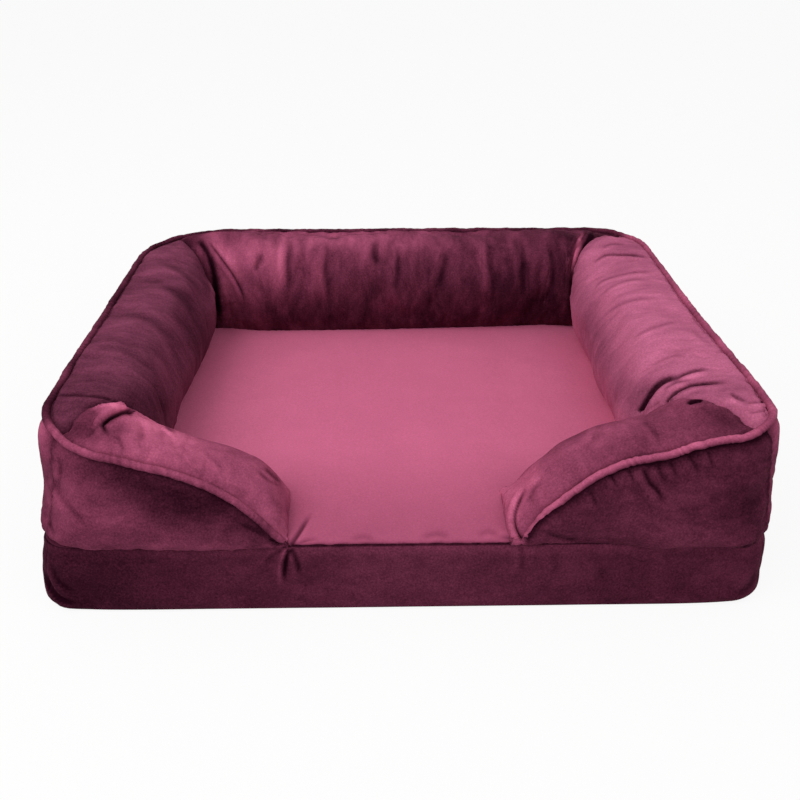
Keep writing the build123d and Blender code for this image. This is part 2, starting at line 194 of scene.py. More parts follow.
@dataclass(frozen=True)
class Eye:
    """The camera of the picture: its place in mm, its angles in degrees and its focal length in pixels.

    frame is the picture's width in pixels, sensor the camera's in mm, near the clipping distance in metres,
    and glance how squarely a surface has to face the camera before its folds are drawn in full.
    """

    place: tuple[float, float, float] = (-15.32, -956.33, 612.64)
    pitch: float = 29.597
    yaw: float = 0.940
    focal: float = 890.0
    frame: float = 800.0
    sensor: float = 36.0
    near: float = 0.02
    glance: float = 0.22

    def axes(self) -> tuple[Array, Array, Array]:
        """The camera's forward, right and up directions."""
        p, y = math.radians(self.pitch), math.radians(self.yaw)
        forward = np.array([math.sin(y) * math.cos(p), math.cos(y) * math.cos(p), -math.sin(p)])
        right = np.array([math.cos(y), -math.sin(y), 0.0])
        return forward, right, np.cross(right, forward)

    def sees(self, points: Array, normals: Array) -> tuple[Array, Array]:
        """Find where a surface falls in the picture.

        Args:
            points: the surface's points in mm.
            normals: its unit normals.
        Returns:
            The points' places in pixels, and how far each one faces the camera, 0 to 1.
        """
        forward, right, up = self.axes()
        ray = points - np.array(self.place)
        depth = ray @ forward
        x = self.frame / 2 + self.focal * (ray @ right) / depth
        y = self.frame / 2 - self.focal * (ray @ up) / depth
        facing = -(ray * normals).sum(-1) / np.linalg.norm(ray, axis=-1)
        return np.stack([x, y], axis=-1), smooth(facing / self.glance)

    def build(self) -> None:
        """Make the camera and make it the scene's own."""
        camera = bpy.data.objects.new("camera", bpy.data.cameras.new("camera"))
        bpy.context.scene.collection.objects.link(camera)
        camera.data.sensor_width = self.sensor
        camera.data.lens = self.sensor * self.focal / self.frame
        camera.data.clip_start = self.near
        camera.location = Vector(self.place) * MM
        camera.rotation_euler = (math.radians(90.0 - self.pitch), 0.0, -math.radians(self.yaw))
        bpy.context.scene.camera = camera


EYE = Eye()

# A fold's lip, in half widths of the fold: how far it stands from the fold's line, and its own half width
LIP_PLACE, LIP_WIDTH = 1.9, 1.1


@dataclass(frozen=True)
class Fold:
    """One crease or ridge of the cloth, drawn where the picture shows it.

    line holds picture points, depth is in mm and is negative for a ridge, width is the half width in pixels,
    and lip is the height in mm of the fullness beside it, on the right of the line's way. start and end are
    the shares of the line over which the fold grows and fades.
    """

    line: tuple[tuple[float, float], ...]
    depth: float
    width: float
    lip: float = 0.0
    start: float = 0.3
    end: float = 0.3

    def press(self, seen: Array, facing: Array) -> Array:
        """How far each point moves out along its normal, in mm.

        Args:
            seen: the points' places in the picture, in pixels.
            facing: how far each point faces the camera, 0 to 1.
        Returns:
            The move of each point.
        """
        line = spline_rows(np.array(self.line, float)[None], np.linspace(0.0, 1.0, 25))[0]
        move = np.zeros(seen.shape[:-1])
        reach = 4.0 * self.width
        low, high = line.min(0) - reach, line.max(0) + reach
        near = ((seen > low) & (seen < high)).all(-1) & (facing > 0.0)
        if not near.any():
            return move
        spot = seen[near]
        a, d = line[:-1], np.diff(line, axis=0)
        t = np.clip(((spot[:, None] - a) * d).sum(-1) / ((d * d).sum(-1) + 1e-9), 0.0, 1.0)
        gap = spot[:, None] - (a + t[..., None] * d)
        far = np.linalg.norm(gap, axis=-1)
        k = far.argmin(1)
        rows = np.arange(len(spot))
        far = far[rows, k]
        side = np.sign(d[k, 0] * gap[rows, k, 1] - d[k, 1] * gap[rows, k, 0])
        share = (k + t[rows, k]) / (len(line) - 1)
        taper = smooth(share / max(self.start, 1e-3)) * smooth((1.0 - share) / max(self.end, 1e-3))
        lip = bell(side * far - LIP_PLACE * self.width, LIP_WIDTH * self.width)
        move[near] = facing[near] * taper * (self.lip * lip - self.depth * bell(far, self.width))
        return move


def pressed(folds: Sequence[Fold], seen: Array, facing: Array) -> Array:
    """How far a panel's folds together move each point out along its normal, in mm."""
    return sum((fold.press(seen, facing) for fold in folds), np.zeros(facing.shape))


def painted_fold_shading(press: Array) -> Array:
    """Painted shade down each crease and painted highlights over each ridge and lip, from how far the folds
    move the cloth.
    """
    return np.clip(np.where(press < 0.0, 0.13, 0.05) * press, -0.5, 0.14)


@dataclass(frozen=True)
class NapAndLightPatch:
    """A patch of lighter or darker pile: some lie where the pile is brushed another way, some are painted
    highlights and painted shade on folds, ridges and under the piping. Picture point, radii in pixels, tone
    and tilt in degrees.
    """

    x: float
    y: float
    across: float
    down: float
    tone: float
    tilt: float = 0.0

    def shade(self, seen: Array) -> Array:
        """How much the patch lightens or darkens each point."""
        t = math.radians(self.tilt)
        gap = seen - np.array([self.x, self.y])
        u = (gap[..., 0] * math.cos(t) + gap[..., 1] * math.sin(t)) / self.across
        v = (gap[..., 1] * math.cos(t) - gap[..., 0] * math.sin(t)) / self.down
        return self.tone * np.exp(-(u * u + v * v))


# Materials


def to_linear(colour: str) -> tuple[float, float, float, float]:
    """Turn an sRGB hex colour into linear red, green, blue and alpha."""
    parts = [int(colour[i : i + 2], 16) / 255.0 for i in (1, 3, 5)]
    return (*[c / 12.92 if c <= 0.04045 else ((c + 0.055) / 1.055) ** 2.4 for c in parts], 1.0)


def add_node(
    tree: bpy.types.NodeTree, kind: str, inputs: dict | None = None, **settings: object
) -> bpy.types.Node:
    """Add a node, with its settings and links.

    Args:
        tree: the node tree.
        kind: the node's type name.
        inputs: an input's name or number, with its value or the output that feeds it.
        settings: the node's own properties.
    Returns:
        The new node.
    """
    node = tree.nodes.new(kind)
    for name, value in settings.items():
        setattr(node, name, value)
    for name, value in (inputs or {}).items():
        if isinstance(value, bpy.types.NodeSocket):
            tree.links.new(value, node.inputs[name])
        else:
            node.inputs[name].default_value = value
    return node


def new_material(name: str) -> tuple[bpy.types.Material, bpy.types.NodeTree]:
    """Start a material, and give it with its empty tree."""
    material = bpy.data.materials.new(name)
    material.use_nodes = True
    material.node_tree.nodes.clear()
    return material, material.node_tree


def object_place(tree: bpy.types.NodeTree) -> bpy.types.NodeSocket:
    """Each point's place on its piece, in metres."""
    return add_node(tree, "ShaderNodeTexCoord").outputs["Object"]


def close_material(tree: bpy.types.NodeTree, shader: dict, bump: dict) -> None:
    """Join colour, gloss and relief into one surface.

    Args:
        tree: the material's tree.
        shader: inputs of the surface shader.
        bump: inputs of the relief.
    """
    relief = add_node(tree, "ShaderNodeBump", bump)
    surface = add_node(tree, "ShaderNodeBsdfPrincipled", {**shader, "Normal": relief.outputs["Normal"]})
    add_node(tree, "ShaderNodeOutputMaterial", {"Surface": surface.outputs["BSDF"]})


@dataclass(frozen=True)
class Velvet:
    """Short polyester velvet, warp knitted and sheared: its pile looks deep or pale as it is brushed.

    dark and light are the pile seen into and seen along, and the nap of the mesh, which also carries painted
    highlights and painted shade, picks between them. blotch is the size in mm of the brushed patches,
    stretched along one axis, and uneven their strength. speckle is the size in mm of the pile's grain, and
    grain its strength.
    """

    name: str
    blotch: float = 30.0
    uneven: float = 0.30
    stretch: tuple[float, float, float] = (1.0, 1.0, 1.0)
    grain: float = 0.34
    sheen: float = 0.03
    dark: str = "#1d0510"
    light: str = "#e0759a"
    # Pile ends are about 0.05 mm; the speckle is drawn coarser, so that it shows on the whole bed
    speckle: float = 1.8

    def make(self) -> bpy.types.Material:
        """Build the material."""
        material, tree = new_material(self.name)
        place = object_place(tree)
        tone = add_node(tree, "ShaderNodeAttribute", attribute_name="nap").outputs["Fac"]
        drawn = add_node(tree, "ShaderNodeMapping", {"Vector": place, "Scale": self.stretch}).outputs[0]
        layers = (
            (drawn, self.blotch, 3.0, self.uneven),
            (drawn, self.blotch / 3.2, 2.0, 0.45 * self.uneven),
            (place, self.speckle, 2.0, self.grain),
        )
        for where, size, detail, strength in layers:
            noise = {"Vector": where, "Scale": 1.0 / (size * MM), "Detail": detail}
            noise |= {"Roughness": 0.6, "Distortion": 0.5}
            spots = add_node(tree, "ShaderNodeTexNoise", noise).outputs["Fac"]
            layer = add_node(tree, "ShaderNodeMath", {0: spots, 1: 0.5}, operation="SUBTRACT").outputs[0]
            laid = {0: layer, 1: strength, 2: tone}
            tone = add_node(tree, "ShaderNodeMath", laid, operation="MULTIPLY_ADD").outputs[0]
        tone = add_node(tree, "ShaderNodeMapRange", {"Value": tone}).outputs[0]
        # The pile's middle tones look deep, as they do where it stands upright
        tone = add_node(tree, "ShaderNodeMath", {0: tone, 1: 2.2}, operation="POWER").outputs[0]
        mixed = {"Factor": tone, 6: to_linear(self.dark), 7: to_linear(self.light)}
        colour = add_node(tree, "ShaderNodeMix", mixed, data_type="RGBA").outputs[2]
        # Where the pile is seen into, light meets more of the dye, so the colour grows deeper
        depth = add_node(tree, "ShaderNodeMapRange", {"Value": tone, "To Min": 1.07, "To Max": 1.0})
        deeper = {"Color": colour, "Saturation": depth.outputs[0]}
        colour = add_node(tree, "ShaderNodeHueSaturation", deeper).outputs[0]
        close_material(
            tree,
            {
                "Base Color": colour,
                "Roughness": 0.95,
                "Specular IOR Level": 0.03,
                "Sheen Weight": self.sheen,
                "Sheen Roughness": 0.5,
                "Sheen Tint": to_linear("#d76f93"),
            },
            {"Height": layer, "Strength": 0.32, "Distance": 0.5 * MM},
        )
        return material


@dataclass(frozen=True)
class TwoTone:
    """A finish whose pattern mixes a dark and a light colour, and raises the surface where it is light."""

    name: str
    dark: str
    light: str

    def pattern(self, tree: bpy.types.NodeTree, place: bpy.types.NodeSocket) -> bpy.types.NodeSocket:
        """The pattern, from 0 to 1, at each place in metres."""
        raise NotImplementedError

    def gloss(self) -> dict:
        """Inputs of the surface shader besides its colour."""
        raise NotImplementedError

    def relief(self) -> dict:
        """How strong and how high the relief is."""
        raise NotImplementedError

    def make(self) -> bpy.types.Material:
        """Build the material."""
        material, tree = new_material(self.name)
        pattern = self.pattern(tree, object_place(tree))
        mixed = {"Factor": pattern, 6: to_linear(self.dark), 7: to_linear(self.light)}
        colour = add_node(tree, "ShaderNodeMix", mixed, data_type="RGBA").outputs[2]
        close_material(tree, {"Base Color": colour, **self.gloss()}, {"Height": pattern, **self.relief()})
        return material


# The distance between two bands of a wave texture of scale one
WAVE_PITCH = 0.314


@dataclass(frozen=True)
class Woven(TwoTone):
    """Plain woven cloth or tape: two sets of threads that cross, dull, with the thread pitch in mm.

    The pitch is drawn coarser than a real thread's 0.3 mm, so that the weave shows.
    """

    pitch: float

    def pattern(self, tree: bpy.types.NodeTree, place: bpy.types.NodeSocket) -> bpy.types.NodeSocket:
        """Threads that cross."""
        wave = {"Vector": place, "Scale": WAVE_PITCH / (self.pitch * MM), "Distortion": 0.8, "Detail": 1.0}
        x, y, z = (
            add_node(tree, "ShaderNodeTexWave", wave, bands_direction=way).outputs["Fac"] for way in "XYZ"
        )
        both = add_node(tree, "ShaderNodeMath", {0: x, 1: y}, operation="MULTIPLY").outputs[0]
        return add_node(tree, "ShaderNodeMath", {0: both, 1: z}, operation="MAXIMUM").outputs[0]

    def gloss(self) -> dict:
        """Dull, with a little sheen from the fibres' ends."""
        return {"Roughness": 0.85, "Sheen Weight": 0.1}

    def relief(self) -> dict:
        """The threads stand 0.2 mm high."""
        return {"Strength": 0.5, "Distance": 0.2 * MM}


@dataclass(frozen=True)
class Fibrous(TwoTone):
    """Loose or twisted fibre, or cut foam: dull, uneven, with pores or strands of one size in mm."""

    size: float

    def pattern(self, tree: bpy.types.NodeTree, place: bpy.types.NodeSocket) -> bpy.types.NodeSocket:
        """Strands or pores, bent out of line."""
        noise = {"Vector": place, "Scale": 1.0 / (self.size * MM), "Detail": 5.0, "Distortion": 1.4}
        return add_node(tree, "ShaderNodeTexNoise", noise).outputs["Fac"]

    def gloss(self) -> dict:
        """Dull, and light goes a little way in."""
        return {"Roughness": 0.9, "Subsurface Weight": 0.05}

    def relief(self) -> dict:
        """The strands or the pores' edges stand 0.6 mm high."""
        return {"Strength": 0.6, "Distance": 0.6 * MM}


@dataclass(frozen=True)
class Moulded(TwoTone):
    """Nylon or rubber from a mould: even colour, a soft gloss and a faint skin texture of one size in mm."""

    roughness: float
    size: float = 0.7

    def pattern(self, tree: bpy.types.NodeTree, place: bpy.types.NodeSocket) -> bpy.types.NodeSocket:
        """The mould's faint texture."""
        noise = {"Vector": place, "Scale": 1.0 / (self.size * MM), "Detail": 2.0}
        return add_node(tree, "ShaderNodeTexNoise", noise).outputs["Fac"]

    def gloss(self) -> dict:
        """The soft gloss of the skin."""
        return {"Roughness": self.roughness}

    def relief(self) -> dict:
        """The texture stands 0.1 mm high."""
        return {"Strength": 0.1, "Distance": 0.1 * MM}


@dataclass(frozen=True)
class SatinNickel:
    """Die-cast zinc, nickel plated and tumbled: a soft grey shine, with fine handling marks in mm."""

    name: str = "satin_nickel"
    marks: float = 0.9

    def make(self) -> bpy.types.Material:
        """Build the material."""
        material, tree = new_material(self.name)
        noise = {"Vector": object_place(tree), "Scale": 1.0 / (self.marks * MM), "Detail": 4.0}
        marks = add_node(tree, "ShaderNodeTexNoise", noise).outputs["Fac"]
        gloss = add_node(tree, "ShaderNodeMapRange", {"Value": marks, "To Min": 0.24, "To Max": 0.42})
        close_material(
            tree,
            {"Base Color": to_linear("#c3c1bd"), "Metallic": 1.0, "Roughness": gloss.outputs[0]},
            {"Height": marks, "Strength": 0.06, "Distance": 0.05 * MM},
        )
        return material


class Finish(Enum):
    """The finishes of the bed's pieces, with the record's slot that each one fills."""

    SLEEPING = ("plush", Velvet("velvet_brushed_smooth", 90.0, 0.06, grain=0.16))
    ROLL_SIDE = ("plush", Velvet("velvet_side_rolls", 30.0, 0.34, (0.38, 1.0, 0.38), light="#dd7a9f"))
    ROLL_BACK = ("plush", Velvet("velvet_back_roll", 34.0, 0.52, (1.0, 0.4, 0.4)))
    ARM = ("plush", Velvet("velvet_arms", 38.0, 0.34))
    WALL = ("plush", Velvet("velvet_outer_wall", 42.0, 0.40, (0.6, 1.0, 1.0)))
    BAND = ("plush", Velvet("velvet_base_band", 30.0, 0.20, (0.7, 1.0, 1.0)))
    PIPING = ("plush", Velvet("velvet_piping_strip", 24.0, 0.16))
    FIBRE = ("fibre_fill", Fibrous("polyester_fibre_carded", "#cfcfca", "#f4f4f0", 3.0))
    FOAM = ("foam", Fibrous("polyurethane_foam_cut", "#b9a473", "#e6d6a8", 1.4))
    CORD = ("cotton_cord", Fibrous("cotton_cord_twisted", "#b9b09a", "#e6dfcc", 0.9))
    UNDERSIDE = ("underside_fabric", Woven("polyester_underside_woven", "#1b1013", "#3a2228", 1.4))
    GRIP = ("underside_fabric", Moulded("rubber_grip_dots", "#241318", "#4a2230", 0.6))
    TAPE = ("zip_tape", Woven("zip_tape_woven", "#2a0d17", "#5b2236", 0.9))
    COIL = ("zip_coil", Moulded("nylon_coil_drawn", "#4b1526", "#4a2230", 0.38))
    METAL = ("zip_metal", SatinNickel())

    def dress(self, piece: bpy.types.Object) -> None:
        """Give a piece this finish."""
        slot, maker = self.value
        material = bpy.data.materials.get(maker.name) or maker.make()
        piece.data.materials.clear()
        piece.data.materials.append(material)


# Meshes


@dataclass(frozen=True)
class Cut:
    """The flat piece of cloth that a cover is sewn from, seam allowance and all, in metres.

    area is given where the cut tapers or is shaped.
    """

    long: float
    wide: float
    area: float = 0.0

    def declare(self, piece: bpy.types.Object, rests_on: Sequence[str], held: str = "stretched") -> None:
        """Not used: it stores neither the piece's flat size, nor what it rests on, nor how it is held."""


def new_piece(
    name: str, points: Array, faces: Array | list[list[int]], tone: Array | None = None
) -> bpy.types.Object:
    """Make a smooth mesh piece.

    Args:
        name: the piece's name.
        points: points in mm.
        faces: the point numbers of each face.
        tone: how light each point is drawn, 0 to 1: the pile's tone with painted highlights and painted
            shade.
    Returns:
        The new object.
    """
    mesh = bpy.data.meshes.new(name)
    corners = faces.tolist() if isinstance(faces, Array) else faces
    mesh.from_pydata((points.reshape(-1, 3) * MM).tolist(), [], corners)
    mesh.polygons.foreach_set("use_smooth", np.ones(len(mesh.polygons), bool))
    if tone is not None:
        # The nap attribute carries the pile's tone together with painted highlights and painted shade
        layer = mesh.attributes.new("nap", "FLOAT", "POINT")
        layer.data.foreach_set("value", tone.astype(np.float32).ravel())
    mesh.update()
    piece = bpy.data.objects.new(name, mesh)
    bpy.context.scene.collection.objects.link(piece)
    return piece


def thicken(piece: bpy.types.Object, skin: float, offset: float = -1.0) -> None:
    """Give a sheet its thickness in mm, behind its faces or, with an offset of one, before them."""
    thick = piece.modifiers.new("skin", "SOLIDIFY")
    thick.thickness = skin * MM
    thick.offset = offset


def hang(piece: bpy.types.Object, finish: Finish, node: str) -> None:
    """Finish a piece, let it stand for a node of the frame, and fix it to the bed."""
    finish.dress(piece)
    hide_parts(node)
    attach(piece, "bed")


def grid_faces(rows: int, columns: int, wrap: bool = False) -> Array:
    """Quads of a grid of points; wrap joins each row's last point to its first."""
    i, j = np.meshgrid(np.arange(rows - 1), np.arange(columns if wrap else columns - 1), indexing="ij")
    k = (j + 1) % columns
    here, next_row = i * columns, (i + 1) * columns
    return np.stack([here + j, next_row + j, next_row + k, here + k], axis=-1).reshape(-1, 4)


def closed_faces(rows: int, columns: int, turned: bool) -> list[list[int]]:
    """Faces of a body whose rows are rings, capped at both ends; turned swaps the faces' sides."""
    faces = grid_faces(rows, columns, wrap=True).tolist()
    faces += [list(range(columns)), list(range((rows - 1) * columns, rows * columns))[::-1]]
    return [face[::-1] for face in faces] if turned else faces


def cloth_piece(name: str, grid: Array, tone: Array) -> bpy.types.Object:
    """Make a plush panel of real thickness from the grid of its outer face."""
    piece = new_piece(name, grid, grid_faces(*grid.shape[:2]), tone)
    thicken(piece, BED.skin)
    return piece


def line_frames(line: Array) -> tuple[Array, Array]:
    """Unit sideways and upward directions at each point of a line."""
    ahead = np.gradient(line, axis=0)
    ahead /= np.linalg.norm(ahead, axis=1, keepdims=True)
    side = np.cross(ahead, np.array([0.0, 0.0, 1.0]))
    side /= np.linalg.norm(side, axis=1, keepdims=True) + 1e-9
    return side, np.cross(side, ahead)


def ring_angles(sides: int) -> Array:
    """Angles of the points of a ring, in radians."""
    return np.linspace(0.0, 2.0 * math.pi, sides, endpoint=False)


def tube_mesh(line: Array, rings: Array) -> tuple[Array, list[list[int]]]:
    """Points and faces of a closed tube round a line.

    Args:
        line: the points along the tube's middle.
        rings: the tube's radius at each point of the line and each angle round it.
    Returns:
        The points, ring by ring with the two ends last, and the faces.
    """
    side, up = line_frames(line)
    count, sides = rings.shape
    angle = ring_angles(sides)[None, :, None]
    ring = side[:, None] * np.cos(angle) + up[:, None] * np.sin(angle)
    points = (line[:, None] + ring * rings[..., None]).reshape(-1, 3)
    faces = grid_faces(count, sides, wrap=True).tolist()
    start, end, last = count * sides, count * sides + 1, (count - 1) * sides
    faces += [[start, (j + 1) % sides, j] for j in range(sides)]
    faces += [[end, last + j, last + (j + 1) % sides] for j in range(sides)]
    return np.concatenate([points, line[[0, -1]]]), faces


def gather_meshes(parts: Sequence[tuple[Array, list[list[int]]]]) -> tuple[Array, list[list[int]]]:
    """Join several meshes' points and faces into one."""
    points, faces, start = [], [], 0
    for p, f in parts:
        points.append(p)
        faces += [[v + start for v in face] for face in f]
        start += len(p)
    return np.concatenate(points), faces


@dataclass(frozen=True)
class Trial:
    """A short trial of a plush panel with pressure behind it: the cloth's settings and the steps."""

    steps: int = 18
    quality: int = 6
    mass: float = 0.25
    stretch: float = 18.0
    shear: float = 6.0
    bend: float = 0.6
    pressure: float = 4.0

    def settle(self, grid: Array, growth: float) -> Array:
        """Blow a cloth panel out against its sewn edges, and give how far each point moved, in mm.

        Args:
            grid: the panel's points, pinned along its four edges.
            growth: how much larger the cloth is cut than the space between its seams.
        Returns:
            The move of each point.
        """
        rows, columns = grid.shape[:2]
        piece = new_piece("cloth_trial", grid, grid_faces(rows, columns))
        edge = np.zeros((rows, columns), bool)
        edge[[0, -1]] = edge[:, [0, -1]] = True
        pins = piece.vertex_groups.new(name="seams")
        pins.add(np.flatnonzero(edge.ravel()).tolist(), 1.0, "REPLACE")
        cloth = piece.modifiers.new("cloth", "CLOTH")
        cloth.settings.vertex_group_mass = "seams"
        cloth.settings.quality = self.quality
        cloth.settings.mass = self.mass
        cloth.settings.tension_stiffness = self.stretch
        cloth.settings.compression_stiffness = self.stretch
        cloth.settings.shear_stiffness = self.shear
        cloth.settings.bending_stiffness = self.bend
        cloth.settings.use_pressure = True
        cloth.settings.uniform_pressure_force = self.pressure
        cloth.settings.shrink_min = -growth
        cloth.settings.effector_weights.gravity = 0.0
        cloth.collision_settings.use_collision = False
        cloth.point_cache.frame_end = self.steps
        scene = bpy.context.scene
        for frame in range(1, self.steps + 1):
            scene.frame_set(frame)
        shape = piece.evaluated_get(bpy.context.evaluated_depsgraph_get()).data
        moved = np.empty(rows * columns * 3, np.float32)
        shape.vertices.foreach_get("co", moved)
        scene.frame_set(1)
        mesh = piece.data
        bpy.data.objects.remove(piece)
        bpy.data.meshes.remove(mesh)
        return moved.reshape(rows, columns, 3) / MM - grid


def resample(values: Array, rows: int, columns: int) -> Array:
    """Read a coarse grid of values at a finer grid's places."""
    for axis, count in ((0, rows), (1, columns)):
        coarse = np.arange(values.shape[axis])
        fine = np.linspace(0, len(coarse) - 1, count)
        values = np.apply_along_axis(lambda line: np.interp(fine, coarse, line), axis, values)
    return values


# Bolster


def wall_place(along: Array, skew: Array, inset: Array, c: Array) -> Array:
    """Distance inward at which a skewed row meets a wall with a rounded corner.

    Args:
        along: where the row starts along the outer edge.
        skew: how far the row slants along the edge for each mm that it goes inward.
        inset: the wall's distance inward on its straight stretch.
        c: the distance in from both sides of the centre that the corner is rounded about.
    Returns:
        The distance inward.
    """
    r = c - inset
    a = 1.0 + skew**2
    b = 2.0 * (skew * (along - c) - c)
    q = (along - c) ** 2 + c * c - r * r
    curved = (-b - np.sqrt(np.maximum(b * b - 4.0 * a * q, 0.0))) / (2.0 * a)
    return np.where(along + skew * inset >= c, inset, curved)


# The wall's outline from its top: share of the piping's height, distance in from the side of the base on a
# plain stretch, and how far a sagging wall hangs out and down there
WALL_OUTLINE = (
    (1.0, 14.0, 0.0, 0.0),
    (0.93, 11.8, 0.0, 0.0),
    (0.82, 6.8, 0.05, 0.0),
    (0.70, 2.0, 0.15, 0.0),
    (0.46, -3.4, 0.4, 0.05),
    (0.24, -4.2, 0.85, 0.25),
    (0.10, -2.2, 1.0, 0.6),
    (0.03, 0.6, 0.85, 0.85),
    (0.0, 4.0, 0.3, 0.75),
)

# The roll's outline from the piping up to its crest: shares of the way inward, of the rise and of the dip
ROLL_UP = ((0.0, 0.0, 0.0), (0.30, 0.56, 1.0), (0.62, 0.87, 0.35), (1.0, 1.0, 0.0))

# From the crest to the roll's inmost reach, then back under it to the foot: shares of each way inward and of
# the crest's height
ROLL_DOWN = ((0.36, 0.945), (0.66, 0.80), (0.90, 0.60), (1.0, 0.38))
ROLL_UNDER = ((0.22, 0.16), (1.0, 0.0))


@dataclass(frozen=True)
class Corner:
    """A rounded corner of the bolster.

    centre holds heights over the base and the distance of the corner's centre in from both sides there, and
    wall the wall's distance in from the side at each step of the wall's outline.
    """

    centre: Pairs = ((0.0, 42.0), (50.0, 57.0), (112.0, 80.0))
    wall: tuple[float, ...] = (14.0, 11.6, 7.4, 3.4, -1.0, -2.4, -1.2, 1.0, 4.0)


CORNER_LEFT = Corner(
    ((0.0, 44.0), (12.0, 48.0), (27.0, 58.0), (50.0, 68.0), (78.0, 75.0), (92.0, 78.0), (112.0, 80.0)),
    (18.0, 14.6, 11.4, 9.8, 8.0, 6.2, 4.6, 4.4, 6.0),
)
CORNER_RIGHT = Corner(
    ((0.0, 42.0), (27.0, 45.0), (50.0, 48.0), (78.0, 52.0), (92.0, 53.0), (112.0, 55.0)),
    (13.0, 6.4, 3.6, 2.0, 0.9, -0.4, -1.1, -0.4, 3.0),
)
CORNER_BACK_LEFT = Corner(((0.0, 44.0), (50.0, 68.0), (112.0, 118.0)))
CORNER_BACK_RIGHT = Corner(((0.0, 42.0), (50.0, 60.0), (112.0, 88.0)))


@dataclass(frozen=True)
class Sewing:
    """How one kind of panel is sewn and stuffed, in mm.

    length is the cloth from the piping to its lower edge, gather the height of the gathers at the piping and
    drawn how far the seam draws the cloth in. shade is how far the seam's shade reaches, full the most that
    the stuffing blows the cloth out, rows the points down the panel, bunch how they crowd to the piping,
    trial the points down it in the pressure trial, and seed the first of its noises.
    """

    length: float
    gather: float
    drawn: float
    shade: float
    full: float
    rows: int
    bunch: float
    trial: int
    seed: int


class Panel(Enum):
    """The two panels of each run, with the way each one is sewn."""

    ROLL = Sewing(
        length=260.0, gather=0.34, drawn=2.2, shade=6.0, full=4.5, rows=116, bunch=1.12, trial=46, seed=40
    )
    WALL = Sewing(
        length=120.0, gather=0.14, drawn=1.5, shade=8.0, full=1.6, rows=64, bunch=1.1, trial=22, seed=240
    )


@dataclass(frozen=True)
class Cover:
    """One panel's cut and finish, with the folds and the patches of pile tone, painted highlights and
    painted shade that the picture shows on it.

    nap is how light the pile lies, and seam_shade how dark the painted shade beside the piped seam falls.
    """

    cut: Cut
    finish: Finish
    nap: float = 0.5
    seam_shade: float = 0.12
    folds: tuple[Fold, ...] = ()
    nap_and_light_patches: tuple[NapAndLightPatch, ...] = ()


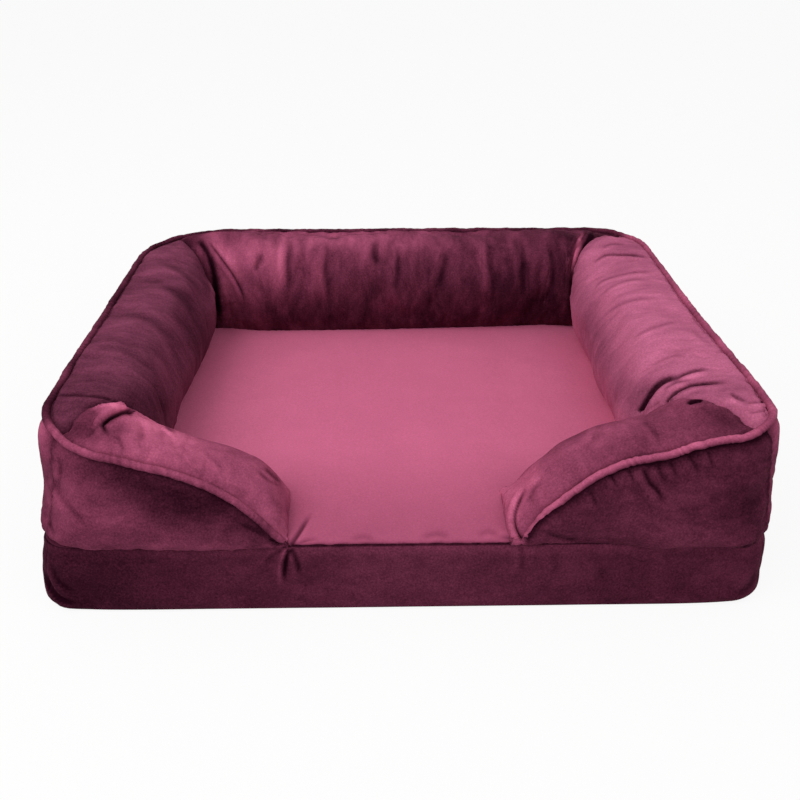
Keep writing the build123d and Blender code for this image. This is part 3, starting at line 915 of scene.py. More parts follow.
@dataclass(frozen=True)
class Run:
    """One run of the bolster, by tables along it of its outline's heights and widths, in mm.

    A row of the run starts at a place along the outer edge and slants by skew as it goes inward, so that
    its first row lies in the mitre plane. seam is the piping's height over the base, crest the roll's
    height and crest_at its distance inward, swell the roll's inmost reach, foot where it meets the base,
    dip how far the cloth is drawn down beside the piping, edge the piping's distance inward, and sag how
    far the wall hangs out. growth is how much larger the cloth is cut than the space between its seams,
    corner_reach how far the near corner's wall reaches along, and piped the length that is piped where it
    isn't the whole run. An arm has no far corner.
    """

    name: str
    corner: tuple[float, float]
    along: tuple[int, int]
    inward: tuple[int, int]
    length: float
    skew: Pairs
    seam: Pairs
    crest: Pairs
    crest_at: Pairs
    swell: Pairs
    foot: Pairs
    dip: Pairs
    edge: Pairs
    corner_near: Corner
    roll: Cover
    wall: Cover
    corner_far: Corner | None = None
    growth: float = 0.012
    corner_reach: float = 150.0
    sag: Pairs = ((0.0, 0.0), (1.0, 0.0))
    piped: float = 0.0

    @property
    def turns(self) -> int:
        """One where the way along and the way inward turn left, minus one where they turn right."""
        return self.along[0] * self.inward[1] - self.along[1] * self.inward[0]

    def side(self, panel: Panel) -> int:
        """One where a panel's rows and columns make normals out of the stuffing, else minus one."""
        return self.turns if panel is Panel.ROLL else -self.turns

    def cover(self, panel: Panel) -> Cover:
        """The cover of one of the run's panels."""
        return self.roll if panel is Panel.ROLL else self.wall

    def stations(self, pitch: float) -> Array:
        """Places of the rows; an arm's last ones draw together where it closes."""
        even = np.linspace(0.0, self.length, int(self.length / pitch) + 1)
        if self.corner_far:
            return even
        tail = self.length - (self.length - even[-12]) * np.linspace(1.0, 0.0, 18)[1:] ** 1.6
        return np.concatenate([even[:-11], tail])

    def rows(self, at: Array, inset: Array, height: Array) -> Array:
        """Distance inward of a wall point at each station, whichever corner is nearer."""
        skew = track(self.skew, at)[:, None]
        near = wall_place(at[:, None], skew, inset, track(self.corner_near.centre, height))
        if not self.corner_far:
            return near
        far = wall_place(self.length - at[:, None], -skew, inset, track(self.corner_far.centre, height))
        return np.where((at > self.length / 2)[:, None], far, near)

    def seam_height(self, at: Array) -> Array:
        """The piping's height over the base; on a side run the arm's slope starts on the rounded corner."""
        top = np.full((len(at), 1), BED.piping_height)
        if not self.seam:
            return top
        inward = self.rows(at, self.piping_inset(at, top), top)
        if self.corner_far:
            return np.where((at < self.length / 2)[:, None], track(self.seam, inward), top)
        skew = track(self.skew, at)[:, None]
        return track(self.seam, at[:, None] + skew * inward * smooth((140.0 - at) / 80.0)[:, None])

    def place(self, at: Array, inward: Array, height: Array) -> Array:
        """Points in the bed's frame, from stations, distances inward and heights over the base."""
        along = at[:, None] + track(self.skew, at)[:, None] * inward
        flat = (
            np.array(self.corner)
            + along[..., None] * np.array(self.along)
            + inward[..., None] * np.array(self.inward)
        )
        return np.concatenate([flat, (height + BED.base_top)[..., None]], axis=-1)

    def piping_inset(self, at: Array, seam: Array) -> Array:
        """How far in from the base's wall the piping lies, on a wall that leans in as it rises."""
        full = track(self.edge, at)[:, None]
        return BED.foot_inset + (full - BED.foot_inset) * seam / BED.piping_height

    def piping_line(self) -> Array:
        """Centre line of the piping, which stands a little proud of the seam."""
        at = np.linspace(0.0, self.piped or self.length, int(self.length / 2.0))
        seam = self.seam_height(at)
        top = np.full_like(seam, BED.piping_height)
        inward = self.rows(at, self.piping_inset(at, seam) - BED.piping_proud, top)
        return self.place(at, inward, seam)[:, 0] + np.array([0.0, 0.0, BED.piping_proud])

    def grid(self, panel: Panel, at: Array, shares: Array) -> Array:
        """A panel's outer face, from the piping to its lower edge, as rows at stations."""
        knots = self.roll_knots(at) if panel is Panel.ROLL else self.wall_knots(at)
        outline = spline_rows(knots, shares)
        inward, height = outline[..., 0], outline[..., 1]
        if panel is Panel.WALL:
            level = height * BED.piping_height / np.maximum(self.seam_height(at), 1.0)
            inward = self.rows(at, inward, level)
        return self.place(at, inward, height)

    def roll_knots(self, at: Array) -> Array:
        """The roll's outline, from the piping over the crest and down to the base."""
        seam = self.seam_height(at)
        tables = (self.crest, self.crest_at, self.swell, self.foot, self.dip)
        crest, crest_at, swell, foot, dip = (track(table, at)[:, None] for table in tables)
        start = self.rows(at, self.piping_inset(at, seam), np.full_like(seam, BED.piping_height))
        width, rise = crest_at - start, crest - seam
        knots = [(start + u * width, seam + v * rise - w * dip) for u, v, w in ROLL_UP]
        knots += [(crest_at + u * (swell - crest_at), v * crest) for u, v in ROLL_DOWN]
        knots += [(swell + u * (foot - swell), v * crest) for u, v in ROLL_UNDER]
        return np.concatenate([np.stack(knot, axis=-1) for knot in knots], axis=1)

    def wall_knots(self, at: Array) -> Array:
        """The wall's outline, from the piping down to its roll over the base's edge."""
        seam = self.seam_height(at)
        top = self.piping_inset(at, seam)
        near = bell(at, self.corner_reach)[:, None]
        full = np.minimum(1.0, seam / 95.0)
        sag = track(self.sag, at)[:, None]
        knots = []
        for (share, inset, out, drop), corner in zip(WALL_OUTLINE, self.corner_near.wall):
            plain = top * share + (inset - BED.piping_inset * share) * full
            lift = 0.2 if share else -1.0
            inward = plain + near * (corner - plain) - out * sag
            knots.append(np.stack([inward, share * seam + lift - drop * sag], axis=-1))
        return np.concatenate(knots, axis=1)

    def outward(self, panel: Panel, grid: Array) -> Array:
        """Unit normals of a panel's grid, out of the stuffing."""
        return grid_normals(grid) * self.side(panel)

    def from_mitre(self, grid: Array) -> Array:
        """Distance of each point from the nearer mitre plane, in mm."""
        flat = grid[..., :2] - np.array(self.corner)
        along, inward = flat @ np.array(self.along), flat @ np.array(self.inward)
        near = (along - inward) / math.sqrt(2.0)
        if self.corner_far:
            near = np.minimum(near, (self.length - along - inward) / math.sqrt(2.0))
        return np.maximum(near, 0.0)

    def soften(self, panel: Panel, grid: Array, at: Array, shares: Array, seed: int) -> Array:
        """Add the fullness of the stuffing, the gathers at the seams and the folds of the picture.

        Args:
            panel: which of the run's panels it is.
            grid: the panel's points.
            at: the stations of its rows.
            shares: the places of its columns, as shares of the way down.
            seed: the first of its noises.
        Returns:
            The points, moved.
        """
        sewing = panel.value
        normal = self.outward(panel, grid)
        down = (shares * sewing.length)[None]
        away = smooth(shares / 0.10)[None] * smooth((1.0 - shares) / 0.12)[None]
        mitre = self.from_mitre(grid)
        move = away * (1.1 * ripple(grid, 95.0, seed) + 0.45 * ripple(grid, 38.0, seed + 1))
        gather = (ripple(on_line(at), 11.0, seed + 2) + 0.6 * ripple(on_line(at), 5.5, seed + 3))[:, None]
        move += sewing.gather * gather * np.exp(-down / 13.0) * smooth(shares / 0.02)[None]
        move += 0.3 * gather * np.exp((down - sewing.length) / 14.0)
        across = on_line(np.broadcast_to(shares * Panel.ROLL.value.length, grid.shape[:2]))
        pucker = ripple(across, 17.0, seed + 4) + 0.5 * ripple(across, 8.0, seed + 5)
        move += 0.55 * pucker * np.exp(-mitre / 13.0) * away
        if panel is Panel.ROLL:
            # The mitre seam pulls a groove into the roll, with a soft ridge beside it
            move += 1.4 * bell(mitre - 15.0, 10.0) * away
            move -= 4.2 * bell(mitre, 4.6) * smooth(shares / 0.04)[None]
        move -= sewing.drawn * bell(down - 5.5, 3.2)
        grid = grid + normal * move[..., None]
        seen, facing = EYE.sees(grid, self.outward(panel, grid))
        return grid + normal * pressed(self.cover(panel).folds, seen, facing)[..., None]

    def tones_with_painted_shading(self, panel: Panel, grid: Array) -> Array:
        """How light each point of a panel is drawn: the pile's own tone, with painted highlights and painted
        shade from its patches, folds, piped seam and mitre.
        """
        cover = self.cover(panel)
        seen, facing = EYE.sees(grid, self.outward(panel, grid))
        total = np.full(grid.shape[:2], cover.nap)
        # Patches of other pile tone, with painted highlights and painted shade
        for patch in cover.nap_and_light_patches:
            total += patch.shade(seen) * facing
        # Painted shade down the creases and painted highlights over the ridges
        for fold in cover.folds:
            total += painted_fold_shading(fold.press(seen, facing))
        # Painted shade beside the piped seam, strongest on the wall under the piping
        away = np.linalg.norm(grid - grid[:, :1], axis=-1)
        raised = smooth((grid[:, :1, 2] - BED.base_top) / 14.0)
        total -= raised * cover.seam_shade * bell(away, panel.value.shade)
        # Painted shade in the groove of the mitre seam
        return total - 0.10 * bell(self.from_mitre(grid), 4.0)


# Seams where two runs meet: each run's name, which of its end rows lies in the seam, and its pull in x in mm
MITRES = (
    ("left", 0, "front_left", 0, 0.0),
    ("left", -1, "back", 0, -3.0),
    ("right", -1, "back", -1, -17.0),
    ("right", 0, "front_right", 0, 0.0),
)


@dataclass(frozen=True)
class Bolster:
    """The stuffed bolster: five runs, each with a roll panel, a wall panel and its fibre fill.

    pitch is the row spacing in mm, closer by arm_pitch on the arms. inside is how far in mm the fibre lies
    inside the cloth, and trial the pressure trial of its panels.
    """

    runs: Sequence[Run]
    pitch: float = 2.3
    arm_pitch: float = 0.66
    inside: float = 5.5
    trial: Trial = Trial()

    def build(self) -> None:
        """Build every run's panels and fill."""
        grids = {panel: {} for panel in Panel}
        for number, run in enumerate(self.runs):
            for panel in Panel:
                grids[panel][run.name] = self.skin(run, panel, panel.value.seed + 10 * number)
        for panel in Panel:
            self.join(grids[panel])
        for run in self.runs:
            for panel in Panel:
                self.cover(run, panel, grids[panel][run.name])
            self.fill(run, grids[Panel.ROLL][run.name], grids[Panel.WALL][run.name])
            log.info("bolster run %s: %d rows", run.name, len(grids[Panel.ROLL][run.name]))

    def join(self, grids: dict[str, Array]) -> None:
        """Bring the rows of neighbouring panels together in each mitre seam."""
        by_name = {run.name: run for run in self.runs}
        for first, row_a, second, row_b, lean in MITRES:
            seam = (grids[first][row_a] + grids[second][row_b]) / 2.0
            share = np.linspace(0.0, 1.0, len(seam))
            # Only the rolls' seams rise over their start, and only they lean
            lean *= seam[0, 2] < seam[:, 2].max() - 2.0
            seam[:, 0] += lean * smooth(share / 0.12) * smooth((1.0 - share) / 0.8)
            for name, row in ((first, row_a), (second, row_b)):
                grid = grids[name]
                half = np.arange(len(grid)) >= len(grid) // 2
                near = by_name[name].from_mitre(grid)
                mine = half if row else ~half
                pull = (1.0 - smooth(near / (16.0 + 1.6 * abs(lean)))) * mine[:, None]
                pull[row] = 1.0
                grids[name] = grid + (seam - grid[row])[None] * pull[..., None]

    def skin(self, run: Run, panel: Panel, seed: int) -> Array:
        """The outer face of one panel, blown out against its seams and then folded."""
        sewing = panel.value
        at = run.stations(self.pitch * (1.0 if run.corner_far else self.arm_pitch))
        shares = np.linspace(0.0, 1.0, sewing.rows) ** sewing.bunch
        grid = run.grid(panel, at, shares)
        stations = np.linspace(0.0, run.length, max(24, len(at) // 2))
        coarse = run.grid(panel, stations, np.linspace(0.0, 1.0, sewing.trial))
        way = slice(None, None, run.side(panel))
        move = self.trial.settle(coarse[:, way], run.growth)[:, way]
        size = np.linalg.norm(move, axis=-1, keepdims=True)
        move *= np.minimum(1.0, sewing.full / (size + 1e-6))
        grid = grid + resample(move, *grid.shape[:2])
        return run.soften(panel, grid, at, shares, seed)

    def cover(self, run: Run, panel: Panel, grid: Array) -> None:
        """Make one cloth panel and hang it on the bed."""
        kind, cover = panel.name.lower(), run.cover(panel)
        way = slice(None, None, -run.side(panel))
        piece = cloth_piece(f"{run.name}_{kind}_cover", grid[:, way], run.tones_with_painted_shading(panel, grid)[:, way])
        hang(piece, cover.finish, f"{kind}_panel_{run.name}")
        cover.cut.declare(piece, [f"bolster_fill_{run.name}"])

    def fill(self, run: Run, roll: Array, wall: Array) -> None:
        """Make the fibre fill, a closed lumpy body just inside the two panels."""
        ring = np.concatenate([wall[::3, ::-3], roll[::3, ::3]], axis=1)
        middle = ring.mean(axis=1, keepdims=True)
        spoke = ring - middle
        far = np.linalg.norm(spoke, axis=2, keepdims=True)
        ring = middle + spoke * np.maximum(1.0 - self.inside / far, 0.25)
        ring[..., 2] = np.maximum(ring[..., 2], BED.base_top + 0.6)
        # An arm's last rows are too thin to hold fibre
        ring = ring[2:-2] if run.corner_far else ring[2:-7]
        piece = new_piece(f"{run.name}_fibre_fill", ring, closed_faces(*ring.shape[:2], run.turns < 0))
        hang(piece, Finish.FIBRE, f"bolster_fill_{run.name}")


# Piping


@dataclass(frozen=True)
class Piping:
    """The piped edge: a cotton cord in a folded strip of the same velvet, with sizes in mm.

    radius is the inside of the strip, which grows outward by its skin. pitch is the spacing of its points
    and crinkle that of its wrinkles. cord is the cord's radius, of strands with one turn in each lay.
    """

    runs: dict[str, Run]
    radius: float = 3.5
    skin: float = 0.6
    pitch: float = 1.4
    sides: int = 14
    crinkle: float = 7.6
    cord: float = 1.9
    strands: int = 3
    lay: float = 11.0

    def line(self) -> Array:
        """Points along the piping from the end of the left arm to the end of the right arm."""
        order = (("front_left", -1), ("left", 1), ("back", 1), ("right", -1), ("front_right", 1))
        parts = [self.runs[name].piping_line()[::way] for name, way in order]
        line = np.concatenate([parts[0], *(part[1:] for part in parts[1:])])
        run = np.append(0.0, np.cumsum(np.linalg.norm(np.diff(line, axis=0), axis=1)))
        at = np.arange(0.0, run[-1], self.pitch)
        line = np.stack([np.interp(at, run, line[:, d]) for d in range(3)], axis=1)
        kernel = np.hanning(9) / np.hanning(9).sum()
        padded = np.pad(line, ((4, 4), (0, 0)), mode="edge")
        return np.stack([np.convolve(padded[:, d], kernel, "valid") for d in range(3)], axis=1)

    def build(self) -> None:
        """Build the strip and the cord inside it."""
        line = self.line()
        at = np.arange(len(line)) * self.pitch
        places = on_line(at)
        right_arm = smooth((line[:, 0] - 100.0) / 60.0) * smooth((-line[:, 1] - 255.0) / 15.0)
        wave = (0.35 + 0.55 * right_arm) * ripple(places, 34.0, 900) + 0.12 * ripple(places, 13.0, 901)
        line[:, 2] += wave * smooth(at / 30.0) * smooth((at[-1] - at) / 30.0)
        self.strip(line, at, right_arm)
        self.cord_strands(line[2:-2:2])
        log.info("piping: %.0f mm long", at[-1])

    def strip(self, line: Array, at: Array, right_arm: Array) -> None:
        """Build the folded strip, which crinkles most on the right arm, with a painted highlight along its
        top and painted shade beneath it.

        Args:
            line: points along the piping.
            at: their distances along it.
            right_arm: one on the right arm, falling to nothing beyond it.
        """
        places = on_line(at)
        angle = ring_angles(self.sides)[None]
        front, back = smooth((-line[:, 1] - 240.0) / 20.0), smooth((line[:, 1] - 240.0) / 20.0)
        turns = 2.0 * math.pi * at / self.crinkle + 3.2 * ripple(places, 30.0, 902)
        patch = smooth(0.5 + 0.5 * ripple(places, 26.0, 903))
        crinkle = np.sin(turns[:, None] + angle) * patch[:, None]
        rings = (self.radius - 0.4 * front + 0.10 * ripple(places, 9.0, 904))[:, None]
        rings = rings + (0.12 + 0.22 * right_arm)[:, None] * crinkle
        from_end = np.minimum(at, at[-1] - at)
        rings *= (0.45 + 0.55 * smooth((from_end + 1.0) / 7.0))[:, None]
        tone = 0.28 + 0.05 * ripple(places, 60.0, 905) + 0.26 * front - 0.02 * back
        tone += 0.34 * smooth(line[:, 0] / 300.0) * (1.0 - front - back)
        # Painted highlight along the piping's top and painted shade beneath it, stronger on the right arm,
        # and painted highlights on the crinkles' swellings
        tone = tone[:, None] + (0.12 + 0.12 * right_arm[:, None]) * np.sin(angle) + 0.04 * crinkle
        points = tube_mesh(line, rings)[0][:-2]
        faces = grid_faces(len(line), self.sides, wrap=True)[:, ::-1]
        cover = new_piece("piping_strip", points, faces, tone)
        thicken(cover, self.skin)
        hang(cover, Finish.PIPING, "piping_cover")
        Cut(at[-1] * MM + 0.02, 0.028).declare(cover, ["piping_cord"], "folded")

    def cord_strands(self, line: Array) -> None:
        """Build the twisted strands of the cord along every second point of the piping."""
        side, up = line_frames(line)
        turn = 2.0 * math.pi * np.arange(len(line))[:, None] * 2.0 * self.pitch / self.lay
        strands = []
        for start in ring_angles(self.strands):
            off = side * np.cos(turn + start) + up * np.sin(turn + start)
            rings = np.full((len(line), 7), 0.5 * self.cord)
            strands.append(tube_mesh(line + 0.48 * self.cord * off, rings))
        cord = new_piece("piping_cord_strands", *gather_meshes(strands))
        hang(cord, Finish.CORD, "piping_cord")


# Base


def walk(start: Array, end: Array, pitch: float) -> tuple[Array, Array]:
    """Walk straight from one place to just short of another.

    Args:
        start: the first place.
        end: the place to stop short of.
        pitch: the step in mm.
    Returns:
        The places passed, and at each one the direction to the right.
    """
    gap = end - start
    far = np.linalg.norm(gap)
    shares = np.linspace(0.0, 1.0, max(2, int(far / pitch)), endpoint=False)[:, None]
    right = np.array([gap[1], -gap[0]]) / far
    return start + shares * gap, np.repeat(right[None], len(shares), axis=0)


# The base's wall from its top seam to its foot: distance in from the side of the base, and height
BAND_OUTLINE = (
    (2.6, 76.4), (0.9, 74.2), (-0.6, 68.0), (-2.2, 52.0), (-3.2, 34.0), (-4.0, 17.0), (-4.2, 7.0),
    (-3.0, 1.8), (2.0, 0.2),
)

# How much further in the wall is drawn at the corners and on the sides, at each step of its outline
TUCK_LEFT = (5.0, 4.8, 4.6, 3.2, 0.6, -1.4, 0.2, 3.4, 4.5)
TUCK_RIGHT = (2.0, 2.0, 1.8, 1.2, 0.4, 1.0, 2.2, 4.6, 6.5)


@dataclass(frozen=True)
class Base:
    """The foam base: a sleeping panel, an underside, side bands, zip strips and the foam in them, in mm.

    folds are the dents of the sleeping panel and band_folds those of the bands. pitch is the spacing of
    the wall's rows, closer by front_pitch along the front, and wall_rows the points down it. side_hem and
    end_hem are how far the sleeping panel's seam lies in from the sides and the ends. under is the
    underside's height, under_skin its thickness, and dot_pitch and dot_margin are those of its grips.
    foam_gaps are the foam's gaps to the sides, the front and the back, foam_corner the rounding of its
    corners, and foam_lift its gap above and below.
    """

    folds: tuple[Fold, ...]
    band_folds: tuple[Fold, ...]
    pitch: float = 3.2
    front_pitch: float = 0.55
    wall_rows: int = 52
    side_hem: float = 7.4
    end_hem: float = 2.4
    under: float = 0.55
    under_skin: float = 1.2
    dot_pitch: float = 16.0
    dot_margin: float = 27.0
    foam_gaps: tuple[float, float, float] = (4.0, 4.5, 8.0)
    foam_corner: float = 22.0
    foam_lift: float = 2.6

    def build(self) -> None:
        """Build every piece of the base."""
        wall, points = self.wall()
        self.bands(wall, points)
        self.back_strips(wall, points)
        self.top_panel()
        self.bottom_panel(wall[:-1, -1])
        self.grip_dots()
        self.foam()

    def outline(self) -> tuple[Array, Array, Array]:
        """Walk round the base from the middle of the front.

        Returns:
            The points, their outward directions, and how near each one is to a corner, 0 to 1.
        """
        hx, hy, r = BED.length / 2, BED.depth / 2, BED.corner
        middle = here = np.array([0.0, -hy])
        steps = max(8, int(r * math.pi / 2 / self.pitch))
        quarter = np.linspace(0.0, math.pi / 2, steps + 1)
        legs = []
        for turn, (sx, sy) in enumerate(((1, -1), (1, 1), (-1, 1), (-1, -1))):
            angle = (turn - 1) * math.pi / 2 + quarter
            outward = np.stack([np.cos(angle), np.sin(angle)], axis=1)
            bend = np.array([sx * (hx - r), sy * (hy - r)]) + r * outward
            legs.append(walk(here, bend[0], self.pitch * (1.0 if turn else self.front_pitch)))
            legs.append((bend[:-1], outward[:-1]))
            here = bend[-1]
        last = walk(here, middle, self.pitch * self.front_pitch)
        legs += [last, (middle[None], last[1][-1:])]
        points, ways = (np.concatenate(part) for part in zip(*legs))
        corner = bell((hx - np.abs(points[:, 0])) + (hy - np.abs(points[:, 1])), 46.0)
        return points, ways, corner

    def wall(self) -> tuple[Array, Array]:
        """The bands' outer face, swollen by the foam, tucked in at the bottom corners and folded.

        Returns:
            The grid, with a row from the top seam down at each point of the outline, and those points.
        """
        points, ways, corner = self.outline()
        knots = np.repeat(np.array(BAND_OUTLINE)[None], len(points), axis=0)
        side = np.maximum(corner, smooth((np.abs(points[:, 0]) - 300.0) / 50.0))[:, None]
        knots[..., 0] += side * np.where((points[:, 0] < 0)[:, None], TUCK_LEFT, TUCK_RIGHT)
        line = spline_rows(knots, np.linspace(0.0, 1.0, self.wall_rows))
        height = line[..., 1]
        grid = np.concatenate([points[:, None] - ways[:, None] * line[..., :1], line[..., 1:]], axis=2)
        normal = grid_normals(grid)
        share = height / 76.0
        soft = smooth(share / 0.15) * smooth((1.0 - share) / 0.2)
        # The swellings are longer round the base than up it
        wide = grid * np.array([1.0, 1.0, 2.2])
        move = soft * (0.7 * ripple(wide, 120.0, 700) + 0.32 * ripple(wide, 42.0, 701))
        tug = ripple(points, 13.0, 702)[:, None]
        move += 0.28 * tug * np.exp((height - BAND_OUTLINE[0][1]) / 9.0)
        outward = np.sign((normal[..., :2] * ways[:, None]).sum(-1))
        grid = self.sewn_flat(grid + normal * (move * outward)[..., None])
        out = -grid_normals(grid)
        press = pressed(self.band_folds, *EYE.sees(grid, out))
        return grid + out * press[..., None], points

    def sewn_flat(self, grid: Array) -> Array:
        """Draw the bands in behind the ends of the zip, where its pull swings over them."""
        along = (np.abs(grid[..., 0]) - BED.zip_length / 2 + 4.0) / 22.0
        up = (grid[..., 2] - BED.zip_height) / 11.0
        held = np.exp(-(along**8) - up**8) * (grid[..., 1] > 0.0)
        grid[..., 1] -= held * np.maximum(grid[..., 1] - BED.depth / 2 - 0.5, 0.0)
        return grid

    def bands(self, wall: Array, points: Array) -> None:
        """Cut the swollen wall into its front and side bands."""
        x, y = points.T
        past_corner = (BED.length / 2 - np.abs(x)) - (BED.depth / 2 - np.abs(y))
        front = (y < 0) & (past_corner >= -1.0)
        sides = ~front & ~self.zipped(points)
        for name, mask, long in (
            ("front", front, 0.722),
            ("right", sides & (x > 0), 0.618),
            ("left", sides & (x < 0), 0.618),
        ):
            rows = np.flatnonzero(mask)
            if name == "front":
                # The outline starts and ends in the middle of the front band
                split = np.flatnonzero(np.diff(rows) > 1)[0] + 1
                rows = np.concatenate([rows[split:], rows[1:split]])
            rows = np.append(rows, (rows[-1] + 1) % len(points))
            self.band_piece(f"{name}_base_band", wall[rows], f"base_band_{name}", Cut(long, 0.092))

    def zipped(self, points: Array) -> Array:
        """Which points of the outline lie along the zip."""
        return (points[:, 1] > 0) & (np.abs(points[:, 0]) <= BED.zip_length / 2)

    def back_strips(self, wall: Array, points: Array) -> None:
        """Cut the strips above and below the zip, each with a hem turned in beside it."""
        rows = np.flatnonzero(self.zipped(points))
        strip = wall[rows[0] - 1 : rows[-1] + 2]
        height = strip[0, :, 2]
        for name, way, wide in (("upper", 1, 0.044), ("lower", -1, 0.048)):
            edge = BED.zip_height + way * BED.zip_window / 2
            part = strip[:, way * (height - edge) > 0.5][:, ::way]
            hem = np.repeat(part[:, -1:], 3, axis=1)
            hem[..., 2] = edge + way * np.array([0.6, 0.0, 0.12])
            hem[..., 1] -= np.array([0.1, 0.6, 2.0])
            part = np.concatenate([part, hem], axis=1)[:, ::way]
            self.band_piece(f"{name}_back_strip", part, f"base_back_strip_{name}", Cut(0.634, wide))

    def band_piece(self, name: str, grid: Array, node: str, cut: Cut) -> None:
        """Make one band or strip of the base's wall."""
        seen, facing = EYE.sees(grid, -grid_normals(grid))
        across, height = seen[..., 0], grid[..., 2]
        tone = 0.30 + facing * (0.08 * bell(across - 420.0, 130.0) - 0.10 * bell(across - 70.0, 80.0))
        # Painted shade down the bands' creases and painted highlights over their ridges
        tone += painted_fold_shading(pressed(self.band_folds, seen, facing))
        # A painted highlight on the band's upper part, and painted shade in the seam at its top
        tone += 0.06 * facing * smooth((height - 60.0) / 12.0) - 0.25 * smooth((height - 73.8) / 1.6)
        piece = cloth_piece(name, grid[:, ::-1], tone[:, ::-1])
        hang(piece, Finish.BAND, node)
        cut.declare(piece, ["mattress_foam"])

    def top_grid(self) -> tuple[Array, Array]:
        """The sleeping panel's points before it is crowned and dented, and their distances from its edge."""
        hx, hy = BED.length / 2 - self.side_hem, BED.depth / 2 - self.end_hem
        across, back = np.linspace(-1.0, 1.0, 261), np.linspace(0.0, 1.0, 184)
        # The points crowd where the panel shows: towards the front, and beside the arms' ends
        x = (across + 0.07 * np.sin(3.0 * math.pi * across)) * hx
        y = -hy + 2.0 * hy * (0.35 * back + 0.65 * back**2)
        gx, gy = np.meshgrid(x, y, indexing="ij")
        r = BED.corner - self.end_hem
        cx, cy = hx - r, hy - r
        dx, dy = np.abs(gx) - cx, np.abs(gy) - cy
        over = (dx > 0.0) & (dy > 0.0)
        pull = np.where(over, np.maximum(dx, dy) / np.maximum(np.hypot(dx, dy), 1e-6), 1.0)
        gx = np.where(over, np.sign(gx) * (cx + dx * pull), gx)
        gy = np.where(over, np.sign(gy) * (cy + dy * pull), gy)
        edge = np.minimum(hx - np.abs(gx), hy - np.abs(gy))
        edge = np.where(over, np.minimum(edge, r - np.hypot(dx, dy) * pull), edge)
        z = BED.base_top - 1.6 * np.exp(-np.maximum(edge, 0.0) / 3.5)
        return np.stack([gx, gy, z], axis=-1), edge

    def top_panel(self) -> None:
        """The sleeping panel: flat where the bolster stands on it, softly crowned and dented in front."""
        grid, edge = self.top_grid()
        x, y = grid[..., 0], grid[..., 1]
        crowned = smooth((240.0 - np.abs(x)) / 40.0) * smooth((175.0 - y) / 40.0) * smooth(edge / 25.0)
        crown = crowned * (0.35 * ripple(grid, 130.0, 610) + 0.12 * ripple(grid, 45.0, 611))
        front = smooth((115.0 - np.abs(x)) / 20.0) * (y < 0)
        from_front = y + BED.depth / 2 - self.end_hem
        pucker = 0.3 * front * np.exp(-from_front / 13.0) * ripple(on_line(x), 21.0, 612)
        grid[..., 2] += crown + pucker
        normal = grid_normals(grid)
        press = pressed(self.folds, *EYE.sees(grid, normal))
        grid = grid + normal * press[..., None]
        # Painted light: lighter to the left and darker towards the front, with painted shade down the dents
        # and painted highlights over their lips
        tone = 0.93 + 0.03 * smooth(-x / 400.0) - 0.16 * smooth((-y - 110.0) / 190.0) + painted_fold_shading(press)
        # Painted shade along the seam at the panel's edge
        tone -= 0.30 * np.exp(-np.maximum(edge, 0.0) / 1.6)
        # Painted shade under the bolster, darker towards the edge
        tone = np.where(np.abs(x) > 128.0, np.minimum(tone, 0.30 + 0.7 * smooth(edge / 60.0)), tone)
        piece = cloth_piece("sleeping_panel", grid, tone)
        hang(piece, Finish.SLEEPING, "base_top_panel")
        Cut(0.716, 0.594).declare(piece, ["mattress_foam"])

    def bottom_panel(self, foot: Array) -> None:
        """The underside: a woven panel, sewn to the foot of the bands."""
        rim = foot * np.array([1.0, 1.0, 0.0]) + np.array([0.0, 0.0, self.under])
        shares = np.linspace(0.0, 1.0, 18)[:, None, None]
        grid = rim * (1.0 - shares) + rim * np.array([0.16, 0.16, 1.0]) * shares
        rings, count = grid.shape[:2]
        faces = grid_faces(rings, count, wrap=True).tolist()
        faces.append(list(range((rings - 1) * count, rings * count))[::-1])
        piece = new_piece("underside_panel", grid, faces)
        thicken(piece, self.under_skin)
        hang(piece, Finish.UNDERSIDE, "base_bottom_panel")
        Cut(0.716, 0.588).declare(piece, ["mattress_foam"])

    def grip_dots(self) -> None:
        """Rows of small rubber domes below the underside, every other row set half a pitch along."""
        sides = 8
        angle = ring_angles(sides)
        ring = np.stack([np.cos(angle), np.sin(angle), 0.0 * angle], axis=-1)
        dome = np.concatenate([ring * 1.8 + [0, 0, 0.6], ring * 1.3 + [0, 0, 0.16], [[0.0, 0.0, 0.02]]])
        pairs = [(j, (j + 1) % sides) for j in range(sides)]
        faces = [[sides + a, sides + b, b, a] for a, b in pairs]
        faces += [[2 * sides, sides + b, sides + a] for a, b in pairs] + [list(range(sides))]
        hx, hy = BED.length / 2 - self.dot_margin, BED.depth / 2 - self.dot_margin
        dots = []
        for row, x in enumerate(np.arange(-hx, hx + 1.0, self.dot_pitch)):
            for y in np.arange(-hy + self.dot_pitch / 2 * (row % 2), hy + 1.0, self.dot_pitch):
                dots.append((dome + [x, y, 0.0], faces))
        grip = new_piece("underside_grip_dots", *gather_meshes(dots))
        Finish.GRIP.dress(grip)
        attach(grip, "bed")

    def foam(self) -> None:
        """The foam block, cut a little full, short of the zip at the back."""
        side_gap, front_gap, back_gap = self.foam_gaps
        r, hx = self.foam_corner, BED.length / 2 - side_gap
        front, back = -BED.depth / 2 + front_gap + r, BED.depth / 2 - back_gap - r
        ring = []
        for sx, y, start in ((1, front, -90.0), (1, back, 0.0), (-1, back, 90.0), (-1, front, 180.0)):
            angle = np.radians(start + np.linspace(0.0, 90.0, 10))
            ring.append(np.stack([sx * (hx - r) + r * np.cos(angle), y + r * np.sin(angle)], axis=1))
        ring = np.concatenate(ring)
        low, high = self.foam_lift, BED.base_top - self.foam_lift
